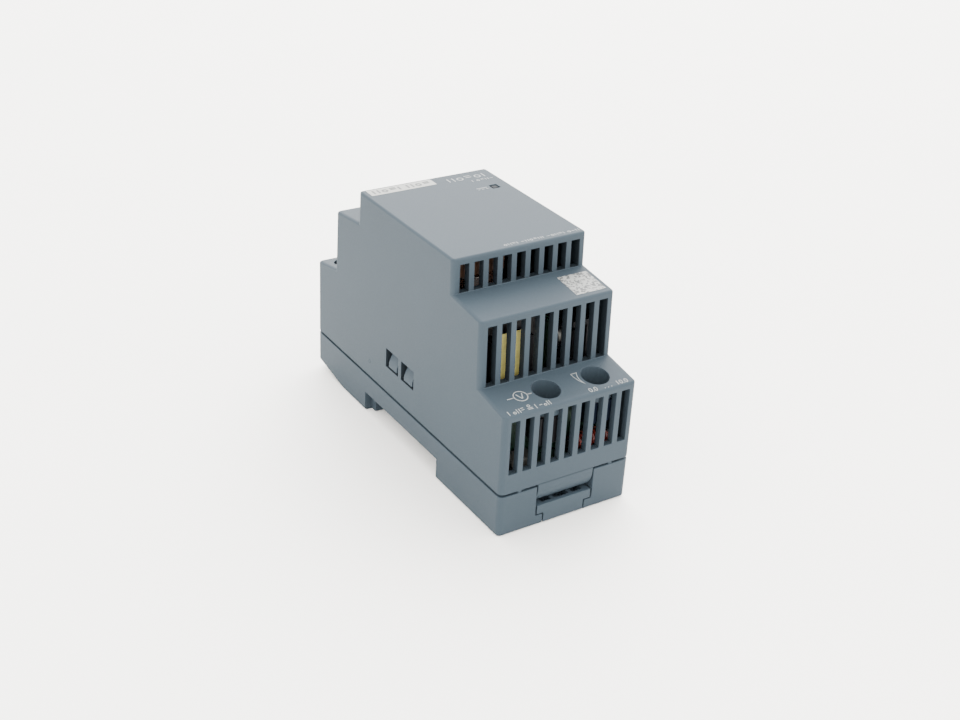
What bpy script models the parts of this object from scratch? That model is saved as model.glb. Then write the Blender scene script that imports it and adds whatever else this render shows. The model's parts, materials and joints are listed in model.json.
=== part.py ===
"""A DIN rail power supply: stepped hood, rail base with sprung latch, screw terminals and the parts inside.

X is the width, +Y points to the terminal end and +Z away from the rail. The origin is at the middle of the
bottom. Everything is in metres.
"""
import math

import bmesh
import bpy
from mathutils import Matrix, Vector

MM = 0.001

# --- Casing -------------------------------------------------------------------------------------
WIDTH = 36.0 * MM
LENGTH = 90.0 * MM
HEIGHT = 59.0 * MM
WALL = 1.7 * MM
GAP = 0.3 * MM                    # clearance between pieces that touch
END_DRAFT = 0.15 * MM             # how far each end face leans in at its top
LOW_TREAD = (31.3 * MM, 33.0 * MM)    # outer and inner height of the low treads
MID_TREAD = (49.3 * MM, 50.6 * MM)    # outer and inner height of the middle treads
NEAR_STEPS = (10.8 * MM, 12.6 * MM)   # depth of the low and of the middle tread, vent end
FAR_STEPS = (9.95 * MM, 12.15 * MM)   # the same, terminal end
RISER_DRAFT = (0.6 * MM, 0.3 * MM)    # lean of the middle and of the top riser
SEAM_Z = 10.6 * MM                # top of the base's rim
SEAM_GAP = 0.65 * MM
EDGE_BEVEL = 0.7 * MM

# --- Vents and windows --------------------------------------------------------------------------
SLOT_COUNT = 9
SLOT_PITCH = 3.74 * MM
SLOT_WIDTH = 2.3 * MM
SLOT_LIFT = 0.12 * MM             # sill between a tread and the slots above it
SLOT_TOP_RIM = 1.6 * MM           # wall left above the slots
LOW_SLOT_BOTTOM = 16.2 * MM
WINDOW_WIDTH = 6.0 * MM
WINDOW_LOW = 18.2 * MM
WINDOW_HIGH = 23.2 * MM
WINDOW_PITCH = 7.5 * MM
WINDOW_MIDDLE_Y = 0.9 * MM
NEAR_HOLE_RADIUS = 3.35 * MM
NEAR_HOLE_INSET = 5.6 * MM        # from the vent end to the centre of its two round holes
COLLAR_WALL = 0.8 * MM            # tubes that lead down from those holes
COLLAR_LOW = 27.4 * MM
SOCKET_X = -3.6 * MM
TRIMMER_X = 9.9 * MM

# --- Indicator ----------------------------------------------------------------------------------
LED_X = 13.5 * MM
LED_Y = 11.1 * MM
LIGHT_PIPE = 1.6 * MM
LIGHT_PIPE_DEPTH = 14.0 * MM

# --- Base and rail ------------------------------------------------------------------------------
RAIL_WIDTH = 35.0 * MM
RAIL_LIP = 1.3 * MM               # room for the rail's edge between seat and hooks
SEAT_Z = 5.4 * MM
RECESS_NEAR_Y = -17.5 * MM
RECESS_PLAY = 0.7 * MM
HOOK_REACH = 2.0 * MM
HOOK_WIDTH = 6.5 * MM
HOOK_INSET = 2.0 * MM
SEAM_TAB_X = 12.6 * MM            # tabs that bridge the seam at the vent end
FAR_FOOT = 12.9 * MM              # length of the far foot's flat sole
FAR_TOE_Z = 2.4 * MM              # height of the far foot's outer edge
RIM_WALL = 3.0 * MM
LIP_HEIGHT = 2.0 * MM
FLOOR = 1.7 * MM
POST_RADIUS = 2.0 * MM
ARM_WIDTH = 4.0 * MM
ARM_THICKNESS = 1.1 * MM

# --- Rail latch ---------------------------------------------------------------------------------
LATCH_HALF = 7.5 * MM
LATCH_STEM_HALF = 5.6 * MM
LATCH_BOTTOM = 0.3 * MM
LATCH_WING_Z = 2.95 * MM
LATCH_TOP = 5.3 * MM
LATCH_NOSE = 1.9 * MM
LATCH_NOSE_HALF = 5.2 * MM
TONGUE_RADIUS = 5.5 * MM          # rounding of the hood's tongue above the latch
TONGUE_TOP = 10.0 * MM
TONGUE_TURN = 51.0                # degrees
SPRING_LENGTH = 7.6 * MM
SPRING_RADIUS = 1.15 * MM
SPRING_WIRE = 0.35 * MM
SPRING_TURNS = 6
SPRING_STOP = 1.5 * MM            # thickness of the peg that the spring pushes against
SPRING_STOP_INSET = 19.2 * MM     # from the recess to the near face of that peg
POCKET_INSET = 1.1 * MM           # from the latch's front to its finger pockets
POCKET_LENGTH = 3.0 * MM
POCKET_DEPTH = 2.0 * MM
POCKETS = ((-5.6 * MM, -3.0 * MM), (-1.95 * MM, 1.95 * MM), (3.0 * MM, 5.6 * MM))

# --- Boards -------------------------------------------------------------------------------------
BOARD_Z = 11.0 * MM
BOARD_THICKNESS = 1.6 * MM
BOARD_TOP = BOARD_Z + BOARD_THICKNESS
SMALL_BOARD = 1.2 * MM
ON_BOARD = BOARD_TOP + GAP

# --- Terminals ----------------------------------------------------------------------------------
INPUT_X = (-12.5 * MM, 12.5 * MM)
OUTPUT_PITCH = 7.5 * MM
OUTPUT_X = tuple((i - 1.5) * OUTPUT_PITCH for i in range(4))
POLE_DROP = (0.0 * MM, 1.1 * MM)  # from under a low and a middle tread to the terminal body
WIRE_ENTRY = 4.4 * MM
POLE_WALL = 1.0 * MM
CAGE_WIDTH = 5.2 * MM
CAGE_DEPTH = 5.0 * MM
CAGE_FLOOR = 0.8 * MM
CAGE_WINDOW = 5.4 * MM
CAGE_ROOF = 1.2 * MM
CAGE_TRAVEL = 2.4 * MM
SCREW_RADIUS = 1.5 * MM
HEAD_RADIUS = 2.3 * MM
HEAD_HEIGHT = 1.8 * MM
HEAD_ROOM = 3.3 * MM              # terminal body above the ledge
BAR_LIFT = 3.2 * MM               # contact bar above the wire's floor
BAR = 0.8 * MM
INPUT_HOLE_RADIUS = 3.35 * MM
OUTPUT_HOLE_RADIUS = 2.75 * MM

# --- Power parts --------------------------------------------------------------------------------
CORE_HALF_WIDTH = 8.2 * MM
CORE_HALF_DEPTH = 3.2 * MM
CORE_LEG = 2.4 * MM
CORE_MIDDLE_HALF = 2.2 * MM
CORE_BACK = 3.4 * MM
CORE_HEIGHT = 24.4 * MM
CORE_LIFT = 7.6 * MM              # core above the main board
BOBBIN_WALL = 0.7 * MM
WINDING_DEPTH = 1.7 * MM
BULK_RADIUS = 8.0 * MM
BULK_HEIGHT = 38.6 * MM
OUTPUT_CAN_RADIUS = 4.0 * MM
OUTPUT_CAN_HEIGHT = 20.0 * MM
SINK_THICKNESS = 1.4 * MM
SINK_HEIGHT = 29.0 * MM
SINK_LENGTH = 16.0 * MM
DEVICE_HALF = 5.0 * MM            # half width of a power semiconductor
DEVICE_DEPTH = 4.4 * MM
DEVICE_LOW = 9.0 * MM             # its body above the board
DEVICE_HIGH = 18.0 * MM
DEVICE_TAB = 1.3 * MM
DEVICE_TOP = 25.0 * MM
DEVICE_SCREW = 22.0 * MM
LEAD_PITCH = 2.54 * MM
CHOKE_RADIUS = 2.6 * MM
CHOKE_LENGTH = 9.6 * MM

# --- Small parts, by their places on the main board ---------------------------------------------
OUTPUT_CAN_Y = (5.4 * MM, 14.6 * MM)
LINE_CHOKE = (2.9 * MM, 15.0 * MM)
LINE_CHOKE_HEIGHT = 16.0 * MM
LINE_CHOKE_LIMB = 3.0 * MM
LINE_CHOKE_REACH = 5.4 * MM       # from its middle to the middle of each limb
LINE_CHOKE_DEPTH = 5.0 * MM
LINE_COIL_WIDTH = 6.4 * MM
LINE_COIL_BUILD = 1.7 * MM
POWER_SINK_Y = -10.6 * MM
X_CAPACITOR = (10.0 * MM, 6.0 * MM, 11.0 * MM)
BRIDGE = (8.0 * MM, 2.9 * MM, 7.0 * MM)
OPTOCOUPLER = (6.5 * MM, 4.6 * MM, 3.4 * MM)
CONTROL_CHIP = (1.7 * MM, 5.0 * MM, 4.0 * MM)
FUSE_RADIUS = 4.0 * MM
FUSE_HEIGHT = 7.4 * MM
VARISTOR_X = -9.6 * MM
THERMISTOR_X = 8.0 * MM
Y_CAPACITOR = (6.4 * MM, 8.2 * MM)
CONTROL_HALF = 3.3 * MM           # half width of the trimmer and of the test socket
CONTROL_SINK = 3.6 * MM           # from the hood's wall to their tops
SOCKET_HEIGHT = 7.5 * MM
SOCKET_PITCH = 2.54 * MM
TRIMMER_HEIGHT = 5.5 * MM
ROTOR_RADIUS = 2.3 * MM
ROTOR_SINK = 1.2 * MM
ROTOR_RISE = 0.7 * MM

# --- Places worked out from the sizes above -----------------------------------------------------
HALF_W = WIDTH / 2
END_Y = LENGTH / 2
IN_X = HALF_W - WALL
ARM_OUT_X = IN_X - GAP - 0.1 * MM     # outer and inner side of the snap arms' shanks
ARM_IN_X = ARM_OUT_X - ARM_THICKNESS
HOOD_Z = SEAM_Z + SEAM_GAP
NEAR_RISER_Y = -END_Y + NEAR_STEPS[0]
NEAR_TOP_Y = NEAR_RISER_Y + NEAR_STEPS[1]
FAR_RISER_Y = END_Y - FAR_STEPS[0]
FAR_TOP_Y = FAR_RISER_Y - FAR_STEPS[1]
RECESS_FAR_Y = RECESS_NEAR_Y + RAIL_WIDTH + RECESS_PLAY
CHANNEL_ROOF = LATCH_TOP + GAP
NEAR_HOLE_Y = -END_Y + NEAR_HOLE_INSET
POLE_DEPTH = CAGE_DEPTH + 2 * GAP + 2 * POLE_WALL
LEDGE_RISE = CAGE_WINDOW + CAGE_ROOF + CAGE_TRAVEL + GAP    # from the wire to the screw's ledge
POLE_RISE = LEDGE_RISE + HEAD_ROOM
INPUT_WIRE_Z = LOW_TREAD[0] - WALL - POLE_DROP[0] - POLE_RISE    # floor of the wire's way in
OUTPUT_WIRE_Z = MID_TREAD[0] - WALL - POLE_DROP[1] - POLE_RISE
INPUT_FRONT_Y = END_Y - WALL - END_DRAFT - GAP
OUTPUT_FRONT_Y = FAR_RISER_Y - RISER_DRAFT[0] - WALL - GAP
INPUT_Y = INPUT_FRONT_Y - POLE_DEPTH / 2
OUTPUT_Y = OUTPUT_FRONT_Y - POLE_DEPTH / 2
TRANSFORMER_X = -IN_X + CORE_HALF_WIDTH + 1.1 * MM
TRANSFORMER_Y = NEAR_RISER_Y + WALL + 8.3 * MM
DRIVER_X = TRANSFORMER_X + CORE_HALF_WIDTH + 0.9 * MM
SINK_X = IN_X - 1.9 * MM          # outer face of the heat sinks
FRONT_BOARD_Y = NEAR_RISER_Y - 0.7 * MM

parts = bpy.data.collections.new("din_rail_power_supply")
cutters = bpy.data.collections.new("cutters")


# --- Tools --------------------------------------------------------------------------------------
def clear_scene():
    for thing in list(bpy.data.objects):
        bpy.data.objects.remove(thing)
    for group in (parts, cutters):
        bpy.context.scene.collection.children.link(group)


def from_bmesh(name, bm):
    mesh = bpy.data.meshes.new(name)
    bm.to_mesh(mesh)
    bm.free()
    thing = bpy.data.objects.new(name, mesh)
    parts.objects.link(thing)
    return thing


def boxes(name, *corners):
    """One object made of boxes, each given by its lowest and highest corner."""
    bm = bmesh.new()
    for low, high in corners:
        low, high = Vector(low), Vector(high)
        size = high - low
        place = Matrix.Translation((low + high) / 2) @ Matrix.Diagonal((*size, 1))
        bmesh.ops.create_cube(bm, size=1, matrix=place)
    return from_bmesh(name, bm)


def seated(name, size, centre, low_z):
    """A box of that size, centred at (x, y) with its underside at low_z."""
    (x, y), (width, depth, height) = centre, size
    return boxes(name, ((x - width / 2, y - depth / 2, low_z),
                        (x + width / 2, y + depth / 2, low_z + height)))


def rods(name, spots, radius, length, axis="Z", segments=16):
    """One object made of equal cylinders, centred at the spots and running along an axis."""
    turn = {"X": Matrix.Rotation(math.pi / 2, 4, "Y"), "Y": Matrix.Rotation(math.pi / 2, 4, "X"),
            "Z": Matrix.Identity(4)}[axis]
    bm = bmesh.new()
    for spot in spots:
        bmesh.ops.create_cone(bm, cap_ends=True, segments=segments, radius1=radius, radius2=radius,
                              depth=length, matrix=Matrix.Translation(spot) @ turn)
    return from_bmesh(name, bm)


def outline(name, points, axis, low, high):
    """A flat outline in (y, z) for axis X or in (x, z) for axis Y, run from low to high on that axis."""
    curve = bpy.data.curves.new(name, "CURVE")
    curve.dimensions = "2D"
    curve.fill_mode = "BOTH"
    curve.extrude = (high - low) / 2
    spline = curve.splines.new("POLY")
    spline.points.add(len(points) - 1)
    spline.use_cyclic_u = True
    for slot, (a, b) in zip(spline.points, points):
        slot.co = (a, b, 0, 1)
    drawn = bpy.data.objects.new(name + "_outline", curve)
    parts.objects.link(drawn)
    columns = {"X": ((0, 1, 0), (0, 0, 1), (1, 0, 0)), "Y": ((1, 0, 0), (0, 0, 1), (0, -1, 0))}[axis]
    turn = Matrix(columns).transposed().to_4x4()
    middle = (low + high) / 2
    shift = Vector((middle, 0, 0)) if axis == "X" else Vector((0, middle, 0))
    drawn.matrix_world = Matrix.Translation(shift) @ turn
    bpy.context.view_layer.update()
    depsgraph = bpy.context.evaluated_depsgraph_get()
    mesh = bpy.data.meshes.new_from_object(drawn.evaluated_get(depsgraph))
    bm = bmesh.new()
    bm.from_mesh(mesh)
    bmesh.ops.remove_doubles(bm, verts=bm.verts, dist=0.001 * MM)
    bmesh.ops.dissolve_limit(bm, angle_limit=0.001, verts=bm.verts, edges=bm.edges)
    bmesh.ops.recalc_face_normals(bm, faces=bm.faces)
    bm.transform(drawn.matrix_world)
    bpy.data.objects.remove(drawn)
    bpy.data.meshes.remove(mesh)
    return from_bmesh(name, bm)


def turned(name, profile, centre, steps=16):
    """A turned piece from (radius, height) points that run down its outer side."""
    bm = bmesh.new()
    rim = [bm.verts.new((radius, 0, height)) for radius, height in profile]
    for first, second in zip(rim, rim[1:]):
        bm.edges.new((first, second))
    thing = from_bmesh(name, bm)
    thing.location = centre
    screw = thing.modifiers.new("turn", "SCREW")
    screw.axis = "Z"
    screw.angle = math.tau
    screw.steps = screw.render_steps = steps
    screw.use_merge_vertices = True
    screw.merge_threshold = 0.01 * MM
    return thing


def hide(thing):
    thing.hide_render = True
    thing.display_type = "WIRE"
    parts.objects.unlink(thing)
    cutters.objects.link(thing)


def boolean(target, other, operation):
    change = target.modifiers.new(other.name, "BOOLEAN")
    change.operation = operation
    change.solver = "EXACT"
    change.object = other
    hide(other)


def cut(target, *others):
    for other in others:
        boolean(target, other, "DIFFERENCE")


def join(target, *others):
    for other in others:
        boolean(target, other, "UNION")


def bevel(thing, width, segments=1, angle=40):
    change = thing.modifiers.new("bevel", "BEVEL")
    change.width = width
    change.segments = segments
    change.limit_method = "ANGLE"
    change.angle_limit = math.radians(angle)
    return change


def finish(thing, colour, roughness, metallic=0.0):
    """Gives a piece its own material."""
    material = bpy.data.materials.new(thing.name)
    material.use_nodes = True
    shader = material.node_tree.nodes["Principled BSDF"]
    shader.inputs["Base Color"].default_value = (*colour, 1)
    shader.inputs["Roughness"].default_value = roughness
    shader.inputs["Metallic"].default_value = metallic
    thing.data.materials.append(material)
    return thing


def set_origin(thing, point):
    """Moves a piece's origin without moving its shape."""
    point = Vector(point)
    thing.data.transform(Matrix.Translation(thing.location - point))
    thing.location = point


def inset_path(path, distance):
    """An open path moved sideways, to the right of its direction, with mitred corners."""
    moved = []
    for i, (a, b) in enumerate(path):
        normals = []
        for j, k in ((i - 1, i), (i, i + 1)):
            if 0 <= j and k < len(path):
                run = Vector(path[k]) - Vector(path[j])
                normals.append(Vector((run.y, -run.x)).normalized())
        middle = sum(normals, Vector((0, 0))).normalized()
        moved.append(tuple(Vector((a, b)) + middle * distance / middle.dot(normals[0])))
    return moved


GREY = (0.33, 0.37, 0.41)
BLACK = (0.03, 0.03, 0.03)
STEEL = (0.6, 0.6, 0.6)
TIN = (0.7, 0.7, 0.68)
GREEN = (0.03, 0.16, 0.07)


# --- Hood ---------------------------------------------------------------------------------------
def hood_path():
    """The hood's outer profile in (y, z), from the tongue at the vent end to the far end's rim."""
    middle_y = -END_Y + TONGUE_RADIUS
    turn = math.radians(TONGUE_TURN)
    arc = [math.pi + turn * (1 - i / 5) for i in range(6)]
    tongue = [(middle_y + TONGUE_RADIUS * math.cos(a), TONGUE_TOP + TONGUE_RADIUS * math.sin(a))
              for a in arc]
    return tongue + [
        (-END_Y + END_DRAFT, LOW_TREAD[0]),
        (NEAR_RISER_Y, LOW_TREAD[1]),
        (NEAR_RISER_Y + RISER_DRAFT[0], MID_TREAD[0]),
        (NEAR_TOP_Y, MID_TREAD[1]),
        (NEAR_TOP_Y + RISER_DRAFT[1], HEIGHT),
        (FAR_TOP_Y - RISER_DRAFT[1], HEIGHT),
        (FAR_TOP_Y, MID_TREAD[1]),
        (FAR_RISER_Y - RISER_DRAFT[0], MID_TREAD[0]),
        (FAR_RISER_Y, LOW_TREAD[1]),
        (END_Y - END_DRAFT, LOW_TREAD[0]),
        (END_Y, HOOD_Z),
    ]


def tread_height(y):
    """The height of the low or middle tread at y."""
    side = -1 if y < 0 else 1
    riser, top = (NEAR_RISER_Y, NEAR_TOP_Y) if side < 0 else (FAR_RISER_Y, FAR_TOP_Y)
    if abs(y) > abs(riser):
        outer, inner, heights = side * (END_Y - END_DRAFT), riser, LOW_TREAD
    else:
        outer, inner, heights = riser - side * RISER_DRAFT[0], top, MID_TREAD
    return heights[0] + (heights[1] - heights[0]) * (outer - y) / (outer - inner)


def slot_boxes():
    """Three rows of vent slots through the end face and the two risers."""
    limit = IN_X - 0.1 * MM
    rows = (
        (-END_Y, LOW_SLOT_BOTTOM, LOW_TREAD[0] - SLOT_TOP_RIM),
        (NEAR_RISER_Y, LOW_TREAD[1] + SLOT_LIFT, MID_TREAD[0] - SLOT_TOP_RIM),
        (NEAR_TOP_Y, MID_TREAD[1] + SLOT_LIFT, HEIGHT - SLOT_TOP_RIM),
    )
    for face_y, low_z, high_z in rows:
        for i in range(SLOT_COUNT):
            x = (i - (SLOT_COUNT - 1) / 2) * SLOT_PITCH
            low_x = -limit if i == 0 else x - SLOT_WIDTH / 2
            high_x = limit if i == SLOT_COUNT - 1 else x + SLOT_WIDTH / 2
            yield (low_x, face_y - 1.5 * MM, low_z), (high_x, face_y + WALL + 1.2 * MM, high_z)


def window_centres():
    return [WINDOW_MIDDLE_Y + side * WINDOW_PITCH / 2 for side in (-1, 1)]


def make_hood():
    path = hood_path()
    tongue_y, tongue_z = path[0]
    under = tongue_z - 2 * MM
    inner_y = tongue_y + 2 * WALL
    hood = outline("hood", path + [(inner_y, HOOD_Z), (inner_y, tongue_z)], "X", -HALF_W, HALF_W)
    bevel(hood, EDGE_BEVEL, 2, 60)
    hollow = inset_path(path, WALL)
    hollow += [(hollow[-1][0], under), (hollow[0][0], under)]
    beside = LATCH_HALF + 0.1 * MM
    cut(hood,
        outline("hood_hollow", hollow, "X", -IN_X, IN_X),
        boxes("hood_beside_tongue", *[((min(a, b), -END_Y - WALL, 0), (max(a, b), inner_y + WALL, HOOD_Z))
                                      for a, b in ((-WIDTH, -beside), (beside, WIDTH))]),
        boxes("hood_slots", *slot_boxes()),
        boxes("hood_windows", *[((side * HALF_W - 2 * WALL, y - WINDOW_WIDTH / 2, WINDOW_LOW),
                                 (side * HALF_W + 2 * WALL, y + WINDOW_WIDTH / 2, WINDOW_HIGH))
                                for side in (-1, 1) for y in window_centres()]))
    through = 6 * WALL
    near_z = tread_height(NEAR_HOLE_Y)
    near = [(x, NEAR_HOLE_Y, near_z) for x in (SOCKET_X, TRIMMER_X)]
    collar_top = near_z - WALL / 2
    join(hood, rods("hood_collars", [(x, y, (COLLAR_LOW + collar_top) / 2) for x, y, z in near],
                    NEAR_HOLE_RADIUS + COLLAR_WALL, collar_top - COLLAR_LOW, segments=32))
    cut(hood,
        rods("hood_near_holes", near, NEAR_HOLE_RADIUS, through, segments=32),
        rods("hood_input_holes", [(x, INPUT_Y, tread_height(INPUT_Y)) for x in INPUT_X],
             INPUT_HOLE_RADIUS, through, segments=32),
        rods("hood_output_holes", [(x, OUTPUT_Y, tread_height(OUTPUT_Y)) for x in OUTPUT_X],
             OUTPUT_HOLE_RADIUS, through, segments=24),
        boxes("hood_wire_entries", *wire_boxes(INPUT_X, END_Y, INPUT_WIRE_Z),
              *wire_boxes(OUTPUT_X, FAR_RISER_Y, OUTPUT_WIRE_Z)))
    half = LIGHT_PIPE / 2 + GAP
    cut(hood, boxes("hood_indicator", ((LED_X - half, LED_Y - half, HEIGHT - 2 * WALL),
                                       (LED_X + half, LED_Y + half, HEIGHT + WALL))))
    finish(hood, GREY, 0.55)


def wire_boxes(xs, face_y, wire_z):
    low_z = wire_z - 0.4 * MM
    return [((x - WIRE_ENTRY / 2, face_y - 2 * WALL, low_z),
             (x + WIRE_ENTRY / 2, face_y + WALL, low_z + WIRE_ENTRY)) for x in xs]


# --- Base ---------------------------------------------------------------------------------------
def arm_outline(side):
    """A snap arm in (x, z): a tall finger whose barb ramps out to the hood's outer face."""
    outer, inner = ARM_OUT_X, ARM_IN_X
    face = HALF_W - 0.2 * MM
    low = WINDOW_LOW + GAP
    ramp = [(face, low), (face, low + 1.1 * MM), (face - 0.35 * MM, low + 2.5 * MM),
            (face - 1.1 * MM, WINDOW_HIGH - 0.2 * MM)]
    points = [(inner, SEAM_Z - 2 * MM), (outer, SEAM_Z - 2 * MM), (outer, low)] + ramp
    points.append((inner, WINDOW_HIGH - 0.2 * MM))
    return [(side * x, z) for x, z in points]


def make_base():
    far_y = RECESS_FAR_Y
    profile = [
        (-END_Y, SEAM_Z), (-END_Y, 0), (RECESS_NEAR_Y, 0), (RECESS_NEAR_Y, SEAT_Z), (far_y, SEAT_Z),
        (far_y, 0), (far_y + FAR_FOOT, 0), (END_Y, FAR_TOE_Z), (END_Y, SEAM_Z),
    ]
    base = outline("base", profile, "X", -HALF_W, HALF_W)
    bevel(base, 0.5 * MM, 1, 60)
    lip_x, lip_y = IN_X - GAP, END_Y - WALL - GAP
    floor_z = CHANNEL_ROOF + FLOOR
    in_x, in_y = HALF_W - RIM_WALL, END_Y - RIM_WALL
    tongue_in = -END_Y + 4.0 * MM
    channel = LATCH_HALF + GAP
    join(base, boxes("base_lip", ((-lip_x, -lip_y, floor_z - WALL), (lip_x, lip_y, SEAM_Z + LIP_HEIGHT))))
    cut(base,
        boxes("base_hollow", ((-in_x, -in_y, floor_z), (in_x, in_y, HEIGHT))),
        boxes("base_near_pockets", *[((low, -in_y, FLOOR), (high, RECESS_NEAR_Y - WALL, floor_z + WALL))
                                     for low, high in ((channel + WALL, in_x), (-in_x, -channel - WALL))]),
        outline("base_far_pocket", [(far_y + WALL, floor_z + WALL), (far_y + WALL, FLOOR),
                                    (far_y + FAR_FOOT - WALL, FLOOR), (in_y, FAR_TOE_Z + FLOOR),
                                    (in_y, floor_z + WALL)], "X", -in_x, in_x),
        boxes("base_channel_wings", ((-channel, -END_Y - WALL, LATCH_WING_Z - GAP),
                                     (channel, RECESS_NEAR_Y + WALL, CHANNEL_ROOF))),
        boxes("base_channel_stem", ((-LATCH_STEM_HALF - GAP, -END_Y - WALL, -FLOOR),
                                    (LATCH_STEM_HALF + GAP, RECESS_NEAR_Y + WALL, LATCH_WING_Z))),
        boxes("base_tongue_room", ((-channel - 0.1 * MM, -END_Y - WALL, CHANNEL_ROOF - 0.1 * MM),
                                   (channel + 0.1 * MM, tongue_in, HEIGHT))))
    stop_y = latch_stop_y()
    hook_x = HALF_W - HOOK_INSET
    join(base,
         boxes("base_tongue_wall", ((-channel - WALL, tongue_in, CHANNEL_ROOF + 0.4 * MM),
                                    (channel + WALL, tongue_in + WALL, SEAM_Z))),
         boxes("base_spring_stop", ((-1.4 * MM, stop_y, LATCH_BOTTOM + 2.2 * MM),
                                    (1.4 * MM, stop_y + SPRING_STOP, floor_z - 0.4 * MM))),
         boxes("base_hooks", *[((low, far_y - HOOK_REACH, 0), (high, far_y + 0.4 * MM, SEAT_Z - RAIL_LIP))
                               for low, high in ((hook_x - HOOK_WIDTH, hook_x),
                                                 (-hook_x, HOOK_WIDTH - hook_x))]),
         boxes("base_seam_tabs", *[((x - 0.5 * MM, -END_Y + 0.2 * MM, SEAM_Z - WALL),
                                    (x + 0.5 * MM, -END_Y + 1.2 * MM, SEAM_Z + SEAM_GAP - GAP))
                                   for x in (-SEAM_TAB_X, SEAM_TAB_X)]))
    post_x = in_x - POST_RADIUS - 1 * MM
    post_y = -in_y + POST_RADIUS + 4 * MM
    post_top = BOARD_Z - GAP
    for low_z, y in ((FLOOR / 2, post_y), (floor_z - FLOOR / 2, RECESS_FAR_Y - 4 * MM)):
        join(base, rods("base_posts", [(side * post_x, y, (low_z + post_top) / 2) for side in (-1, 1)],
                        POST_RADIUS, post_top - low_z, segments=12))
    for side in (-1, 1):
        for y in window_centres():
            join(base, outline("base_arm", arm_outline(side), "Y", y - ARM_WIDTH / 2, y + ARM_WIDTH / 2))
    finish(base, GREY, 0.55)


# --- Rail latch ---------------------------------------------------------------------------------
def latch_stop_y():
    """The near face of the base's peg that the latch spring pushes against."""
    return RECESS_NEAR_Y - SPRING_STOP_INSET


def make_latch():
    front, back = -END_Y, RECESS_NEAR_Y - 0.6 * MM
    latch = boxes("rail_latch", ((-LATCH_HALF, front, LATCH_WING_Z), (LATCH_HALF, back, LATCH_TOP)))
    nose_y, nose_root = RECESS_NEAR_Y + LATCH_NOSE, back - 1 * MM
    nose_low, nose_top = LATCH_BOTTOM + 0.2 * MM, SEAT_Z - RAIL_LIP
    join(latch,
         boxes("latch_stem", ((-LATCH_STEM_HALF, front, LATCH_BOTTOM),
                              (LATCH_STEM_HALF, back, LATCH_WING_Z + 0.5 * MM))),
         outline("latch_nose", [(nose_root, nose_low), (nose_y - 1.4 * MM, nose_low),
                                (nose_y, nose_top - 1.2 * MM), (nose_y, nose_top), (nose_root, nose_top)],
                 "X", -LATCH_NOSE_HALF, LATCH_NOSE_HALF))
    stop_y = latch_stop_y()
    start = stop_y + SPRING_STOP + GAP
    slot_half, slot_floor = 1.9 * MM, LATCH_BOTTOM + 1.9 * MM
    pocket_y = front + POCKET_INSET
    cut(latch,
        boxes("latch_spring_slot", ((-slot_half, stop_y - 0.5 * MM, slot_floor),
                                    (slot_half, start + SPRING_LENGTH + GAP, LATCH_TOP + FLOOR))),
        boxes("latch_pockets", *[((low, pocket_y, LATCH_TOP - POCKET_DEPTH),
                                  (high, pocket_y + POCKET_LENGTH, LATCH_TOP + FLOOR))
                                 for low, high in POCKETS]))
    set_origin(latch, (0, front, LATCH_WING_Z))
    finish(latch, GREY, 0.5)

    centre_z = slot_floor + SPRING_RADIUS + SPRING_WIRE / 2 + 0.25 * MM
    steps = SPRING_TURNS * 10
    curve = bpy.data.curves.new("latch_spring", "CURVE")
    curve.dimensions = "3D"
    curve.bevel_depth = SPRING_WIRE / 2
    curve.bevel_resolution = 1
    curve.use_fill_caps = True
    spline = curve.splines.new("POLY")
    spline.points.add(steps)
    run = SPRING_LENGTH - SPRING_WIRE
    for i, slot in enumerate(spline.points):
        angle = math.tau * i / 10
        slot.co = (SPRING_RADIUS * math.cos(angle), start + SPRING_WIRE / 2 + run * i / steps,
                   centre_z + SPRING_RADIUS * math.sin(angle), 1)
    spring = bpy.data.objects.new("latch_spring", curve)
    parts.objects.link(spring)
    finish(spring, STEEL, 0.3, 1.0)


# --- Boards -------------------------------------------------------------------------------------
def make_boards():
    half, end = ARM_IN_X - GAP, END_Y - RIM_WALL - GAP
    finish(boxes("main_board", ((-half, -end, BOARD_Z), (half, end, BOARD_TOP))), GREEN, 0.4)
    finish(boxes("front_board", ((-half, FRONT_BOARD_Y - SMALL_BOARD, ON_BOARD),
                                 (half, FRONT_BOARD_Y, COLLAR_LOW - GAP))),
           GREEN, 0.4)
    low_y = NEAR_RISER_Y + WALL + 1.2 * MM
    driver = boxes("driver_board", ((DRIVER_X, low_y, ON_BOARD),
                                    (DRIVER_X + SMALL_BOARD, low_y + 18 * MM, ON_BOARD + 31 * MM)))
    finish(driver, GREEN, 0.4)
    chip = seated("control_chip", CONTROL_CHIP,
                  (DRIVER_X + SMALL_BOARD + GAP + CONTROL_CHIP[0] / 2, low_y + 6.5 * MM), ON_BOARD + 17 * MM)
    bevel(chip, 0.2 * MM)
    finish(chip, BLACK, 0.5)


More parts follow.
